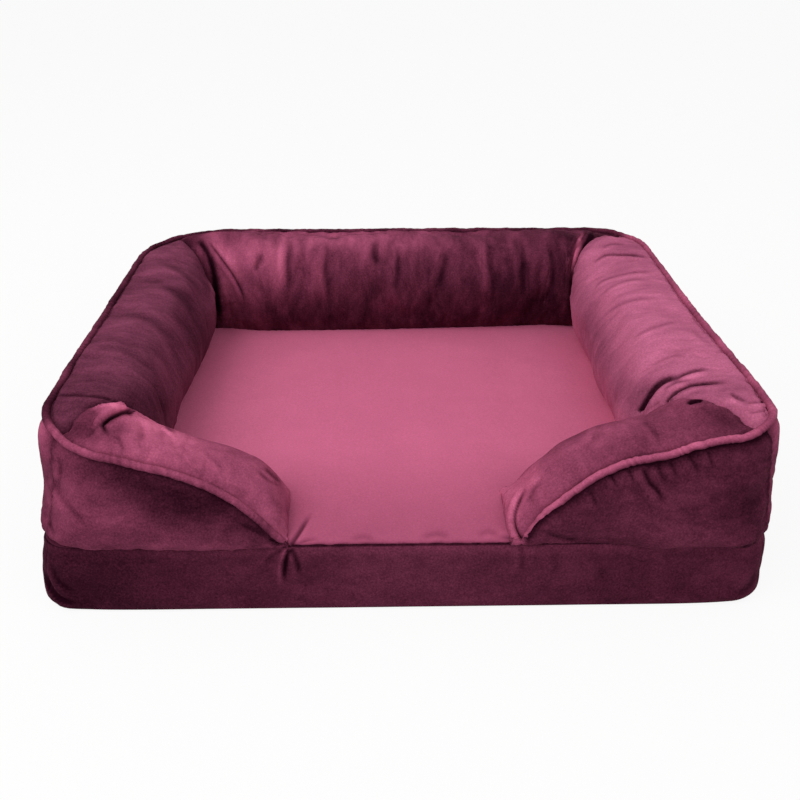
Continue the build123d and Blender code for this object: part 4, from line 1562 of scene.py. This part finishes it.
        # Heights, and how far the foam's rounded edges and swollen middle lie in there
        levels = (
            (low, 13.0), (low + 2.0, 9.0), (low + 7.0, 5.0), (40.0, 2.0), (high - 7.0, 6.0),
            (high - 2.0, 8.0), (high, 11.0),
        )
        rows = [np.column_stack([ring * (1.0 - d / hx), np.full(len(ring), z)]) for z, d in levels]
        piece = new_piece("foam_block", np.array(rows), closed_faces(len(rows), len(ring), True))
        hang(piece, Finish.FOAM, "mattress_foam")


# Zip


@dataclass(frozen=True)
class Zip:
    """The zip on the back: tapes, nylon coils, and the frame's own metal slider, pull and stops, in mm.

    loop is the length of one loop of a coil, thread its wire's radius, and tape the tape's thickness.
    """

    frame: dict
    loop: float = 1.8
    thread: float = 0.34
    tape_skin: float = 0.5

    def build(self) -> None:
        """Build the tapes and coils, and finish the metal."""
        for level in ("upper", "lower"):
            self.tape(level)
            self.coil(level)
        for node in ("zip_slider", "zip_pull", "zip_stops"):
            Finish.METAL.dress(self.frame["nodes"][node])

    def tape(self, level: str) -> None:
        """One woven tape, with its thicker edge along the coil."""
        low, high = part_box(f"zip_tape_{level}")
        x, z = np.linspace(low.x, high.x, 160) / MM, np.linspace(low.z, high.z, 14) / MM
        gx, gz = np.meshgrid(x, z, indexing="ij")
        thinner = 0.25 * smooth((np.abs(gz - BED.zip_height) - 2.5) / 2.0)
        y = high.y / MM - 0.15 - thinner + 0.05 * ripple(np.stack([gx, gz], -1), 40.0, 811)
        grid = np.stack([gx, y, gz], axis=-1)
        piece = new_piece(f"{level}_zip_tape", grid[::-1], grid_faces(*grid.shape[:2])[:, ::-1])
        thicken(piece, self.tape_skin, 1.0)
        hang(piece, Finish.TAPE, f"zip_tape_{level}")
        Cut(high.x - low.x, high.z - low.z).declare(piece, [f"base_back_strip_{level}"])

    def coil(self, level: str) -> None:
        """One nylon coil: a flattened helix, the upper one a quarter loop along."""
        low, high = (np.array(v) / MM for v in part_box(f"zip_coil_{level}"))
        steps = 10
        t = np.arange(int((high[0] - low[0] - 1.0) / self.loop) * steps + 1) / steps
        x = low[0] + 0.5 + self.loop * (t + (0.25 if level == "upper" else 0.0))
        middle, reach = (low + high) / 2, (high - low) / 2 - self.thread
        y = middle[1] + reach[1] * np.sin(2.0 * math.pi * t)
        z = middle[2] + reach[2] * np.cos(2.0 * math.pi * t)
        line = np.stack([x, y, z], axis=-1)
        piece = new_piece(f"{level}_zip_coil", *tube_mesh(line, np.full((len(line), 6), self.thread)))
        hang(piece, Finish.COIL, f"zip_coil_{level}")


# Studio

WHITE = (1.0, 1.0, 1.0, 1.0)


def sees_white(tree: bpy.types.NodeTree) -> bpy.types.NodeSocket:
    """One for the rays that should see a white background, from the camera or by way of metal or glass."""
    rays = add_node(tree, "ShaderNodeLightPath").outputs
    seen = rays["Is Camera Ray"]
    for kind in ("Is Glossy Ray", "Is Transmission Ray"):
        seen = add_node(tree, "ShaderNodeMath", {0: seen, 1: rays[kind]}, operation="MAXIMUM").outputs[0]
    return seen


@dataclass(frozen=True)
class Studio:
    """A plain pale floor, a white surround and soft lamps.

    half_floor is half the floor's side in mm, glow how much of it the camera sees as plain white, lamp_size
    the lamps' side in metres, and daylight the strength of the surround's light on the bed.
    """

    half_floor: float = 12000.0
    glow: float = 0.9
    lamp_size: float = 2.0
    daylight: float = 0.55

    def build(self) -> None:
        """Build the floor, the surround and the lamps."""
        self.floor()
        self.surround()
        self.lamp("key_lamp", (-1.5, -1.1, 2.1), 36.0)
        self.lamp("fill_lamp", (1.7, -1.6, 1.6), 12.0)

    def lamp(self, name: str, place: tuple[float, float, float], power: float) -> None:
        """Add a square soft lamp that looks at the bed, at a place in metres and with its power in watts."""
        light = bpy.data.lights.new(name, "AREA")
        light.size = self.lamp_size
        light.energy = power
        lamp = bpy.data.objects.new(name, light)
        lamp.location = place
        lamp.rotation_euler = (Vector((0.0, 0.0, 0.1)) - Vector(place)).to_track_quat("-Z", "Y").to_euler()
        bpy.context.scene.collection.objects.link(lamp)

    def floor(self) -> None:
        """A large pale floor that the camera sees as white except in the bed's shadow."""
        corners = np.array([(-1.0, -1.0, 0.0), (1.0, -1.0, 0.0), (1.0, 1.0, 0.0), (-1.0, 1.0, 0.0)])
        floor = new_piece("floor", self.half_floor * corners, [[0, 1, 2, 3]])
        material, tree = new_material("matt_white_floor")
        matt = add_node(tree, "ShaderNodeBsdfDiffuse", {"Color": to_linear("#f4f4f4")}).outputs[0]
        glow = add_node(tree, "ShaderNodeEmission", {"Color": WHITE, "Strength": 1.0}).outputs[0]
        share = add_node(tree, "ShaderNodeMath", {0: sees_white(tree), 1: self.glow}, operation="MULTIPLY")
        both = add_node(tree, "ShaderNodeMixShader", {0: share.outputs[0], 1: matt, 2: glow}).outputs[0]
        add_node(tree, "ShaderNodeOutputMaterial", {"Surface": both})
        floor.data.materials.append(material)

    def surround(self) -> None:
        """A white surround: even light on the bed, and white where the camera looks past the floor."""
        world = bpy.data.worlds.new("surround")
        world.use_nodes = True
        tree = world.node_tree
        tree.nodes.clear()
        ends = {"Value": sees_white(tree), "To Min": self.daylight, "To Max": 1.0}
        level = add_node(tree, "ShaderNodeMapRange", ends).outputs[0]
        sky = add_node(tree, "ShaderNodeBackground", {"Color": WHITE, "Strength": level}).outputs[0]
        add_node(tree, "ShaderNodeOutputWorld", {"Surface": sky})
        bpy.context.scene.world = world
        bpy.context.scene.view_settings.view_transform = "Standard"


# The bed's runs, with the folds and the patches of pile tone, painted highlights and painted shade that the
# picture shows


def both_ends(table: Pairs, length: float) -> Pairs:
    """Extend a table of slants for one end of a run to its other end, where they turn the other way."""
    return tuple(table) + tuple((length - a, -v) for a, v in reversed(table))


SIDE_SKEW = ((0.0, 1.0), (60.0, 0.73), (120.0, 0.42), (180.0, 0.14), (230.0, 0.0))

LEFT_FOLDS = (
    Fold(((57, 397), (80, 397), (106, 400), (128, 407)), 1.6, 1.5, 1.0, 0.1, 0.3),
    Fold(((176, 240), (198, 249), (207, 263), (212, 280), (214, 301), (215, 320)), -1.6, 3.0, 0.0, 0.2, 0.3),
    Fold(((150, 262), (172, 268), (190, 282), (203, 300)), 0.8, 3.0, 0.5),
    Fold(((128, 282), (158, 284), (182, 300), (198, 322)), 0.8, 3.5, 0.6),
    Fold(((105, 318), (140, 318), (166, 334), (184, 356)), 0.7, 3.5, 0.6),
    Fold(((86, 352), (118, 350), (146, 366), (166, 388)), 0.7, 3.5, 0.5),
)
BACK_FOLDS = (
    Fold(((197, 239), (208, 254), (214, 272), (217, 296), (222, 322)), 3.2, 3.2, 2.0, 0.1, 0.2),
    Fold(((207, 240), (220, 257), (233, 275), (242, 292), (247, 312)), 2.6, 1.7, 1.6, 0.2, 0.4),
    Fold(((262, 252), (258, 264), (254, 274)), 1.6, 3.0, 0.8),
    Fold(((292, 240), (288, 262), (290, 292)), 1.4, 3.6, 1.4),
    Fold(((330, 238), (326, 262), (331, 300)), 1.0, 3.4, 1.0),
    Fold(((376, 238), (374, 252), (378, 268)), 1.6, 4.0, 1.0),
    Fold(((396, 244), (398, 268), (394, 296)), 1.2, 3.6, 1.0),
    Fold(((447, 246), (443, 268), (436, 292)), 1.3, 3.6, 1.2),
    Fold(((487, 238), (490, 262), (494, 300)), 1.1, 4.0, 1.0),
    Fold(((520, 238), (523, 262), (520, 296)), 1.1, 3.6, 1.0),
    Fold(((545, 238), (552, 262), (550, 300)), 1.2, 3.6, 1.0),
    Fold(((562, 240), (567, 258), (570, 282)), -2.0, 1.6, 0.0, 0.3, 0.4),
    Fold(((583, 232), (577, 246), (573, 261), (570, 278)), -3.4, 1.8, 0.0, 0.1, 0.4),
    Fold(((593, 233), (585, 246), (579, 260), (575, 280), (572, 312)), 4.0, 2.0, 0.0, 0.05, 0.2),
)
RIGHT_FOLDS = (
    Fold(((593, 266), (604, 257), (621, 256), (638, 257), (651, 260)), 3.2, 1.3, 1.6, 0.3, 0.3),
    Fold(((599, 251), (609, 246), (626, 246)), 1.0, 1.4, 0.6),
    Fold(((592, 296), (600, 284), (618, 277), (640, 273), (656, 274)), 1.3, 1.4, 0.8),
    Fold(((597, 300), (612, 288), (632, 281), (654, 282)), 1.0, 1.4, 0.7),
    Fold(((600, 324), (616, 308), (640, 300), (664, 301)), 0.9, 1.8, 0.7),
    Fold(((630, 345), (642, 334), (660, 327), (682, 322)), 1.0, 1.7, 0.7),
    Fold(((650, 368), (663, 361), (676, 357), (690, 357)), 1.2, 1.8, 0.8),
    Fold(((672, 383), (684, 376), (697, 372), (713, 371)), 3.2, 2.0, 2.2, 0.3, 0.4),
    Fold(((641, 413), (649, 399), (657, 388), (667, 381), (682, 379)), 6.0, 3.0, 2.4, 0.02, 0.3),
    Fold(((666, 405), (675, 395), (688, 388), (708, 385), (732, 384)), 4.6, 2.2, 2.4, 0.05, 0.4),
    Fold(((662, 392), (672, 386), (684, 382), (694, 381)), 2.0, 1.5, 1.2),
    Fold(((728, 393), (738, 400), (748, 404)), 2.4, 2.2, 1.4),
    Fold(((742, 405), (754, 404), (766, 403)), 1.6, 1.6, 1.4, 0.3, 0.05),
    Fold(((748, 415), (758, 413), (766, 412)), 1.2, 1.5, 1.0, 0.3, 0.05),
    Fold(((690, 330), (702, 340), (716, 348)), 0.7, 2.4, 0.6),
)
ARM_LEFT_FOLDS = (
    Fold(
        ((135, 414), (126, 412), (117, 415), (108, 420), (103, 426), (106, 432), (114, 436)),
        5.6, 3.1, 2.6, 0.05, 0.45,
    ),
    Fold(((94, 408), (104, 406), (116, 406), (128, 409)), -3.0, 2.2, 0.0, 0.3, 0.2),
    Fold(((60, 434), (67, 424), (75, 417)), 1.4, 1.6, 0.6),
    Fold(((84, 440), (96, 430), (100, 420)), 0.9, 3.0, 0.8),
    Fold(((116, 436), (122, 446), (124, 456)), 1.0, 3.0, 0.6, 0.2, 0.4),
    Fold(((164, 426), (170, 431), (178, 434)), 3.2, 1.8, 1.4, 0.1, 0.5),
    Fold(((140, 424), (143, 434), (140, 444)), 0.8, 3.4, 0.7),
    Fold(((205, 455), (216, 463), (224, 474)), 0.7, 3.0, 0.5),
    Fold(((262, 468), (272, 477), (282, 487)), 2.2, 1.8, 1.4, 0.2, 0.4),
    Fold(((256, 471), (268, 481), (282, 489)), 1.2, 1.8, 0.8),
)
ARM_RIGHT_FOLDS = (
    Fold(((686, 405), (694, 403), (704, 401)), 6.0, 1.9, 1.0, 0.2, 0.2),
    Fold(
        ((530, 486), (523, 496), (517, 508), (515, 520), (517, 531), (523, 540)),
        3.4, 2.2, 2.4, 0.35, 0.02,
    ),
    Fold(((545, 478), (534, 492), (528, 508)), 1.0, 3.2, 0.8),
    Fold(((640, 420), (652, 430), (660, 442)), 0.8, 3.6, 0.5),
    Fold(((600, 430), (590, 444), (580, 452)), 0.7, 3.6, 0.5),
)
WALL_LEFT_FOLDS = (
    Fold(((46, 500), (50, 520), (58, 536)), 1.4, 2.4, 0.5),
    Fold(((58, 452), (62, 470), (58, 490)), 0.9, 2.6, 0.5),
    Fold(((50, 470), (66, 500), (92, 528)), 0.9, 3.6, 0.7),
    Fold(((232, 520), (258, 532), (280, 545)), 0.8, 3.0, 0.6, 0.3, 0.05),
)
WALL_RIGHT_FOLDS = (
    Fold(((590, 490), (594, 500), (599, 508)), 0.9, 2.4, 0.6, 0.1, 0.5),
    Fold(((610, 474), (614, 482), (619, 490)), 1.2, 2.0, 0.8, 0.05, 0.5),
    Fold(((628, 470), (632, 478), (634, 486)), 0.9, 1.8, 0.7, 0.05, 0.5),
    Fold(((643, 468), (648, 481), (659, 494), (663, 508)), 1.9, 3.4, 1.4, 0.05, 0.4),
    Fold(((657, 464), (661, 474), (668, 486)), 1.0, 2.8, 0.9, 0.05, 0.5),
    Fold(((669, 461), (674, 470), (679, 480)), 0.9, 2.8, 0.9, 0.05, 0.5),
    Fold(((688, 455), (694, 464), (701, 477)), 0.9, 2.8, 0.9, 0.05, 0.5),
    Fold(((707, 451), (710, 460), (714, 470)), 0.8, 2.2, 0.6, 0.05, 0.5),
    Fold(((760, 538), (752, 543), (738, 547), (722, 549)), 1.8, 2.0, 1.2, 0.3, 0.3),
    Fold(((540, 530), (560, 536), (584, 540)), 0.8, 2.6, 0.5),
)
TOP_FOLDS = (
    Fold(((291, 544), (298, 534), (306, 521), (312, 511)), 2.6, 2.2, 1.0, 0.02, 0.5),
    Fold(((292, 545), (306, 540), (322, 538)), 1.2, 2.0, 0.7, 0.02, 0.5),
    Fold(((519, 541), (508, 537), (496, 538)), 1.0, 2.2, 0.6, 0.02, 0.5),
    Fold(((350, 541), (362, 536), (376, 541)), 0.7, 3.0, 0.3),
    Fold(((420, 539), (436, 533), (452, 538)), 0.8, 3.4, 0.3),
    Fold(((476, 537), (488, 531), (500, 536)), 0.6, 3.0, 0.3),
)
BAND_FOLDS = (
    Fold(((286, 549), (280, 562), (280, 580), (285, 597)), -1.7, 2.2, 0.0, 0.02, 0.5),
    Fold(((289, 549), (285, 566), (285, 586)), 2.6, 2.2, 0.8, 0.02, 0.5),
    Fold(((291, 549), (297, 562), (300, 580)), 1.5, 2.4, 0.8, 0.02, 0.5),
    Fold(((285, 549), (272, 556), (262, 570)), 0.9, 2.6, 0.5, 0.02, 0.5),
    Fold(((520, 546), (522, 562), (518, 580)), 0.6, 3.0, 0.7, 0.02, 0.5),
    Fold(((548, 553), (556, 566), (550, 580)), 0.4, 4.0, 0.5),
    Fold(((590, 553), (600, 566), (596, 584)), 0.3, 4.0, 0.5),
    Fold(((45, 566), (48, 583), (58, 597), (78, 604)), 3.4, 2.2, 1.8),
    Fold(((50, 560), (58, 580), (76, 594)), 1.2, 2.4, 0.9),
    Fold(((44, 586), (50, 598), (62, 605)), 1.6, 1.6, 1.0),
    Fold(((756, 566), (750, 584), (732, 597)), 0.9, 3.0, 0.6),
)

HALF_X, HALF_Y = BED.length / 2, BED.depth / 2
ARM_LEFT_SEAM = (
    (14.0, 112.0), (20.0, 110.6), (34.0, 106.6), (50.0, 101.8), (66.0, 97.3), (81.0, 93.0), (97.0, 88.3),
    (112.0, 83.5), (128.0, 79.0), (144.0, 74.0), (159.0, 68.0), (175.0, 60.5), (191.0, 50.5), (206.0, 38.0),
    (222.0, 22.0), (233.0, 9.5), (239.0, 4.0), (242.0, 2.0),
)
ARM_RIGHT_SEAM = (
    (14.0, 112.0), (24.0, 110.8), (36.0, 109.0), (54.0, 106.3), (72.0, 103.4), (84.0, 100.3), (96.0, 96.0),
    (110.0, 90.5), (124.0, 86.5), (138.0, 84.5), (149.0, 81.5), (163.0, 76.0), (176.0, 69.0), (187.0, 61.5),
    (199.0, 51.5), (211.0, 42.0), (223.0, 29.5), (233.0, 15.5), (238.0, 7.0), (241.0, 2.6), (243.0, 1.4),
)

SIDE_ROLL_CUT = Cut(0.590, 0.226, 0.086)
SIDE_WALL_CUT = Cut(0.590, 0.134, 0.071)

RUNS = (
    Run(
        "left", (-HALF_X, -HALF_Y), (0, 1), (1, 0), BED.depth,
        skew=both_ends(SIDE_SKEW, BED.depth),
        seam=ARM_LEFT_SEAM,
        crest=((0.0, 118.5), (90.0, 120.0), (300.0, 120.0), (500.0, 120.0), (BED.depth, 118.0)),
        crest_at=((0.0, 57.0), (140.0, 54.0), (440.0, 54.0), (BED.depth, 58.0)),
        swell=((0.0, 102.0), (90.0, 102.0), (300.0, 106.0), (460.0, 109.0), (BED.depth, 98.0)),
        foot=((0.0, 92.0), (110.0, 87.0), (300.0, 87.0), (470.0, 92.0), (BED.depth, 92.0)),
        dip=((0.0, 9.0), (40.0, 4.0), (300.0, 4.0), (540.0, 4.0), (BED.depth, 4.0)),
        edge=((0.0, 17.0), (60.0, 17.5), (150.0, 16.0), (300.0, 15.5), (480.0, 14.0), (BED.depth, 14.0)),
        corner_near=CORNER_LEFT,
        corner_far=CORNER_BACK_LEFT,
        roll=Cover(
            SIDE_ROLL_CUT, Finish.ROLL_SIDE, nap=0.44, folds=LEFT_FOLDS,
            nap_and_light_patches=(
                NapAndLightPatch(197, 330, 16, 60, -0.10, -20.0),
                NapAndLightPatch(150, 300, 40, 40, 0.04, -25.0),
                NapAndLightPatch(80, 396, 40, 16, -0.03),
                NapAndLightPatch(146, 402, 26, 18, -0.13, 20.0),
                NapAndLightPatch(172, 262, 28, 18, 0.11),
                NapAndLightPatch(122, 340, 30, 34, 0.06, 20.0),
                NapAndLightPatch(198, 254, 15, 3.0, 0.24, 60.0),
                NapAndLightPatch(210, 284, 2.6, 17, 0.16, -8.0),
                NapAndLightPatch(206, 268, 10, 26, -0.10, -20.0),
            ),
        ),
        wall=Cover(
            SIDE_WALL_CUT, Finish.WALL, nap=0.46, seam_shade=0.20, nap_and_light_patches=(NapAndLightPatch(42, 418, 10, 26, 0.34),)
        ),
    ),
    Run(
        "back", (-HALF_X, HALF_Y), (1, 0), (0, -1), BED.length,
        skew=both_ends(SIDE_SKEW, BED.length),
        seam=(),
        crest=((0.0, 118.0), (100.0, 120.0), (350.0, 119.5), (600.0, 120.0), (BED.length, 119.0)),
        crest_at=((0.0, 58.0), (150.0, 52.0), (560.0, 52.0), (BED.length, 61.0)),
        swell=(
            (0.0, 98.0), (110.0, 114.0), (350.0, 114.0), (540.0, 110.0), (620.0, 106.0), (BED.length, 107.0),
        ),
        foot=(
            (0.0, 92.0), (60.0, 97.0), (133.0, 103.0), (217.0, 103.0), (359.0, 100.0), (501.0, 94.0),
            (608.0, 90.0), (BED.length, 93.0),
        ),
        dip=((0.0, 4.0), (40.0, 4.5), (350.0, 5.0), (670.0, 4.5), (BED.length, 3.0)),
        edge=((0.0, 14.0), (BED.length, 14.0)),
        corner_near=CORNER_BACK_LEFT,
        corner_far=CORNER_BACK_RIGHT,
        growth=0.014,
        roll=Cover(
            Cut(0.722, 0.226, 0.113), Finish.ROLL_BACK, nap=0.37, folds=BACK_FOLDS,
            nap_and_light_patches=(
                NapAndLightPatch(246, 252, 44, 24, 0.26, 8.0),
                NapAndLightPatch(224, 254, 26, 7, 0.26, 52.0),
                NapAndLightPatch(330, 240, 80, 16, 0.22),
                NapAndLightPatch(420, 236, 90, 12, 0.14),
                NapAndLightPatch(300, 275, 60, 26, 0.13),
                NapAndLightPatch(281, 258, 4.5, 28, 0.14, 4.0),
                NapAndLightPatch(402, 250, 40, 16, 0.07),
                NapAndLightPatch(400, 286, 40, 10, -0.06),
                NapAndLightPatch(250, 300, 24, 20, 0.06),
                NapAndLightPatch(226, 296, 7, 30, 0.12, -14.0),
                NapAndLightPatch(400, 314, 210, 20, -0.09),
                NapAndLightPatch(540, 285, 50, 40, -0.12),
                NapAndLightPatch(480, 262, 50, 24, 0.05),
                NapAndLightPatch(577, 251, 3.4, 20, 0.46, 14.0),
            ),
        ),
        wall=Cover(Cut(0.722, 0.134, 0.088), Finish.WALL, seam_shade=0.20),
    ),
    Run(
        "right", (HALF_X, -HALF_Y), (0, 1), (-1, 0), BED.depth,
        skew=both_ends(SIDE_SKEW, BED.depth),
        seam=ARM_RIGHT_SEAM,
        crest=(
            (0.0, 117.5), (60.0, 116.0), (120.0, 118.0), (300.0, 120.0), (480.0, 120.5), (BED.depth, 119.0),
        ),
        crest_at=((0.0, 56.0), (140.0, 55.0), (440.0, 56.0), (BED.depth, 61.0)),
        swell=((0.0, 106.0), (90.0, 116.0), (300.0, 117.0), (460.0, 117.0), (BED.depth, 107.0)),
        foot=((0.0, 96.0), (110.0, 99.0), (300.0, 100.0), (500.0, 101.0), (BED.depth, 93.0)),
        dip=((0.0, 7.0), (40.0, 3.0), (300.0, 3.0), (540.0, 3.0), (BED.depth, 3.0)),
        edge=(
            (0.0, 13.0), (60.0, 8.5), (110.0, 8.5), (160.0, 11.0), (220.0, 13.0), (280.0, 15.0),
            (BED.depth, 15.0),
        ),
        corner_near=CORNER_RIGHT,
        corner_far=CORNER_BACK_RIGHT,
        growth=0.014,
        roll=Cover(
            SIDE_ROLL_CUT, Finish.ROLL_SIDE, nap=0.84, folds=RIGHT_FOLDS,
            nap_and_light_patches=(
                NapAndLightPatch(598, 340, 16, 60, -0.20, -22.0),
                NapAndLightPatch(640, 396, 18, 22, -0.16, -10.0),
                NapAndLightPatch(626, 252, 34, 14, -0.08),
                NapAndLightPatch(700, 392, 50, 14, -0.12),
            ),
        ),
        wall=Cover(
            SIDE_WALL_CUT, Finish.WALL, nap=0.48, seam_shade=0.20, nap_and_light_patches=(NapAndLightPatch(777, 424, 10, 34, 0.16),)
        ),
    ),
    Run(
        "front_left", (-HALF_X, -HALF_Y), (1, 0), (0, 1), 244.0, piped=242.0,
        skew=((0.0, 1.0), (60.0, 0.62), (120.0, 0.30), (180.0, 0.06), (244.0, -0.07)),
        seam=ARM_LEFT_SEAM,
        crest=(
            (0.0, 118.0), (20.0, 114.5), (40.0, 108.0), (60.0, 103.5), (84.0, 97.0), (100.0, 92.5),
            (121.0, 86.5), (140.0, 81.0), (160.0, 75.5), (180.0, 70.0), (200.0, 62.0), (214.0, 54.5),
            (224.0, 46.0), (232.0, 36.0), (238.0, 25.0), (242.0, 13.0), (244.0, 1.5),
        ),
        crest_at=((0.0, 57.0), (40.0, 52.0), (100.0, 50.0), (180.0, 48.0), (242.0, 44.0)),
        swell=(
            (0.0, 104.0), (40.0, 104.0), (80.0, 103.0), (150.0, 98.0), (200.0, 94.0), (230.0, 91.0),
            (242.0, 84.0),
        ),
        foot=((0.0, 93.0), (120.0, 90.0), (190.0, 87.0), (230.0, 84.0), (242.0, 80.0)),
        sag=((0.0, 0.0), (30.0, 1.0), (70.0, 4.0), (160.0, 4.0), (242.0, 1.0)),
        dip=((0.0, 9.0), (40.0, 5.0), (100.0, 1.0), (242.0, 0.0)),
        edge=((0.0, 17.0), (50.0, 14.0), (242.0, 14.0)),
        corner_near=CORNER_LEFT,
        corner_reach=80.0,
        roll=Cover(
            Cut(0.258, 0.216, 0.031), Finish.ARM, nap=0.70, folds=ARM_LEFT_FOLDS,
            nap_and_light_patches=(
                NapAndLightPatch(80, 430, 28, 18, -0.29, 20.0),
                NapAndLightPatch(67, 431, 10, 9, -0.10),
                NapAndLightPatch(90, 416, 9, 8, -0.12, -30.0),
                NapAndLightPatch(103, 434, 8, 7, -0.08),
                NapAndLightPatch(117, 434, 7, 12, -0.16, 24.0),
                NapAndLightPatch(116, 407, 16, 4, 0.10, 8.0),
                NapAndLightPatch(146, 424, 22, 7, 0.10, 16.0),
                NapAndLightPatch(162, 434, 4, 6, -0.16),
                NapAndLightPatch(110, 421, 9, 4, -0.12, -24.0),
                NapAndLightPatch(276, 516, 12, 16, -0.07),
                NapAndLightPatch(160, 428, 40, 13, 0.16, 22.0),
                NapAndLightPatch(170, 446, 40, 14, 0.06, 25.0),
                NapAndLightPatch(225, 480, 40, 16, -0.05, 28.0),
            ),
        ),
        wall=Cover(
            Cut(0.258, 0.130, 0.021), Finish.WALL, nap=0.44, seam_shade=0.20, folds=WALL_LEFT_FOLDS,
            nap_and_light_patches=(
                NapAndLightPatch(60, 480, 26, 50, 0.08, -10.0),
                NapAndLightPatch(110, 524, 60, 18, 0.06, 8.0),
                NapAndLightPatch(186, 502, 62, 20, -0.20, 16.0),
                NapAndLightPatch(120, 478, 50, 14, -0.12, 14.0),
                NapAndLightPatch(160, 520, 30, 16, -0.08, 16.0),
                NapAndLightPatch(245, 526, 26, 12, -0.10, 34.0),
            ),
        ),
    ),
    Run(
        "front_right", (HALF_X, -HALF_Y), (-1, 0), (0, 1), 254.5, piped=243.0,
        skew=((0.0, 1.0), (60.0, 0.66), (120.0, 0.38), (180.0, 0.17), (254.5, 0.01)),
        seam=ARM_RIGHT_SEAM,
        crest=(
            (0.0, 117.5), (15.0, 116.5), (40.0, 108.0), (73.0, 101.5), (100.0, 98.5), (115.0, 97.0),
            (126.0, 96.5), (144.0, 92.0), (162.0, 85.5), (180.0, 76.5), (198.0, 64.5), (212.0, 53.0),
            (223.0, 43.0), (231.0, 33.5), (238.0, 25.0), (244.0, 18.5), (250.0, 12.0), (253.0, 6.5),
            (254.5, 1.5),
        ),
        crest_at=((0.0, 56.0), (40.0, 52.0), (100.0, 51.0), (180.0, 49.0), (243.0, 46.0)),
        swell=(
            (0.0, 106.0), (40.0, 104.0), (80.0, 104.0), (150.0, 100.0), (200.0, 94.0), (230.0, 89.0),
            (243.0, 84.0),
        ),
        foot=((0.0, 96.0), (120.0, 92.0), (190.0, 88.0), (230.0, 84.0), (243.0, 80.0)),
        sag=((0.0, 4.0), (40.0, 7.0), (110.0, 7.0), (150.0, 3.0), (190.0, 0.5), (243.0, 0.0)),
        dip=((0.0, 7.0), (40.0, 3.0), (100.0, 0.5), (243.0, 0.0)),
        edge=((0.0, 13.0), (60.0, 14.0), (243.0, 14.0)),
        corner_near=CORNER_RIGHT,
        corner_reach=70.0,
        roll=Cover(
            Cut(0.266, 0.216, 0.033), Finish.ARM, nap=0.57, folds=ARM_RIGHT_FOLDS,
            nap_and_light_patches=(
                NapAndLightPatch(725, 424, 34, 14, -0.20, 30.0),
                NapAndLightPatch(650, 446, 50, 16, -0.08, -14.0),
                NapAndLightPatch(598, 440, 40, 10, 0.10, -20.0),
                NapAndLightPatch(512, 488, 34, 24, 0.26, -50.0),
                NapAndLightPatch(560, 470, 30, 16, 0.04, -36.0),
                NapAndLightPatch(516, 520, 3.4, 18, 0.16, 4.0),
            ),
        ),
        wall=Cover(
            Cut(0.266, 0.130, 0.024), Finish.WALL, nap=0.36, seam_shade=0.42, folds=WALL_RIGHT_FOLDS,
            nap_and_light_patches=(
                NapAndLightPatch(600, 532, 60, 12, -0.05),
                NapAndLightPatch(745, 490, 26, 40, -0.06),
                NapAndLightPatch(660, 482, 60, 10, -0.05, -14.0),
                NapAndLightPatch(517, 540, 9, 6, 0.34),
            ),
        ),
    ),
)


def main() -> None:
    """Build the bed, piece by piece, round its frame."""
    logging.basicConfig(level=logging.INFO, format="%(name)s: %(message)s")
    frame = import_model()
    EYE.build()
    Studio().build()
    Base(TOP_FOLDS, BAND_FOLDS).build()
    log.info("base is built")
    Bolster(RUNS).build()
    Piping({run.name: run for run in RUNS}).build()
    Zip(frame).build()
    log.info("zip is built")


if __name__ == "__main__":
    main()
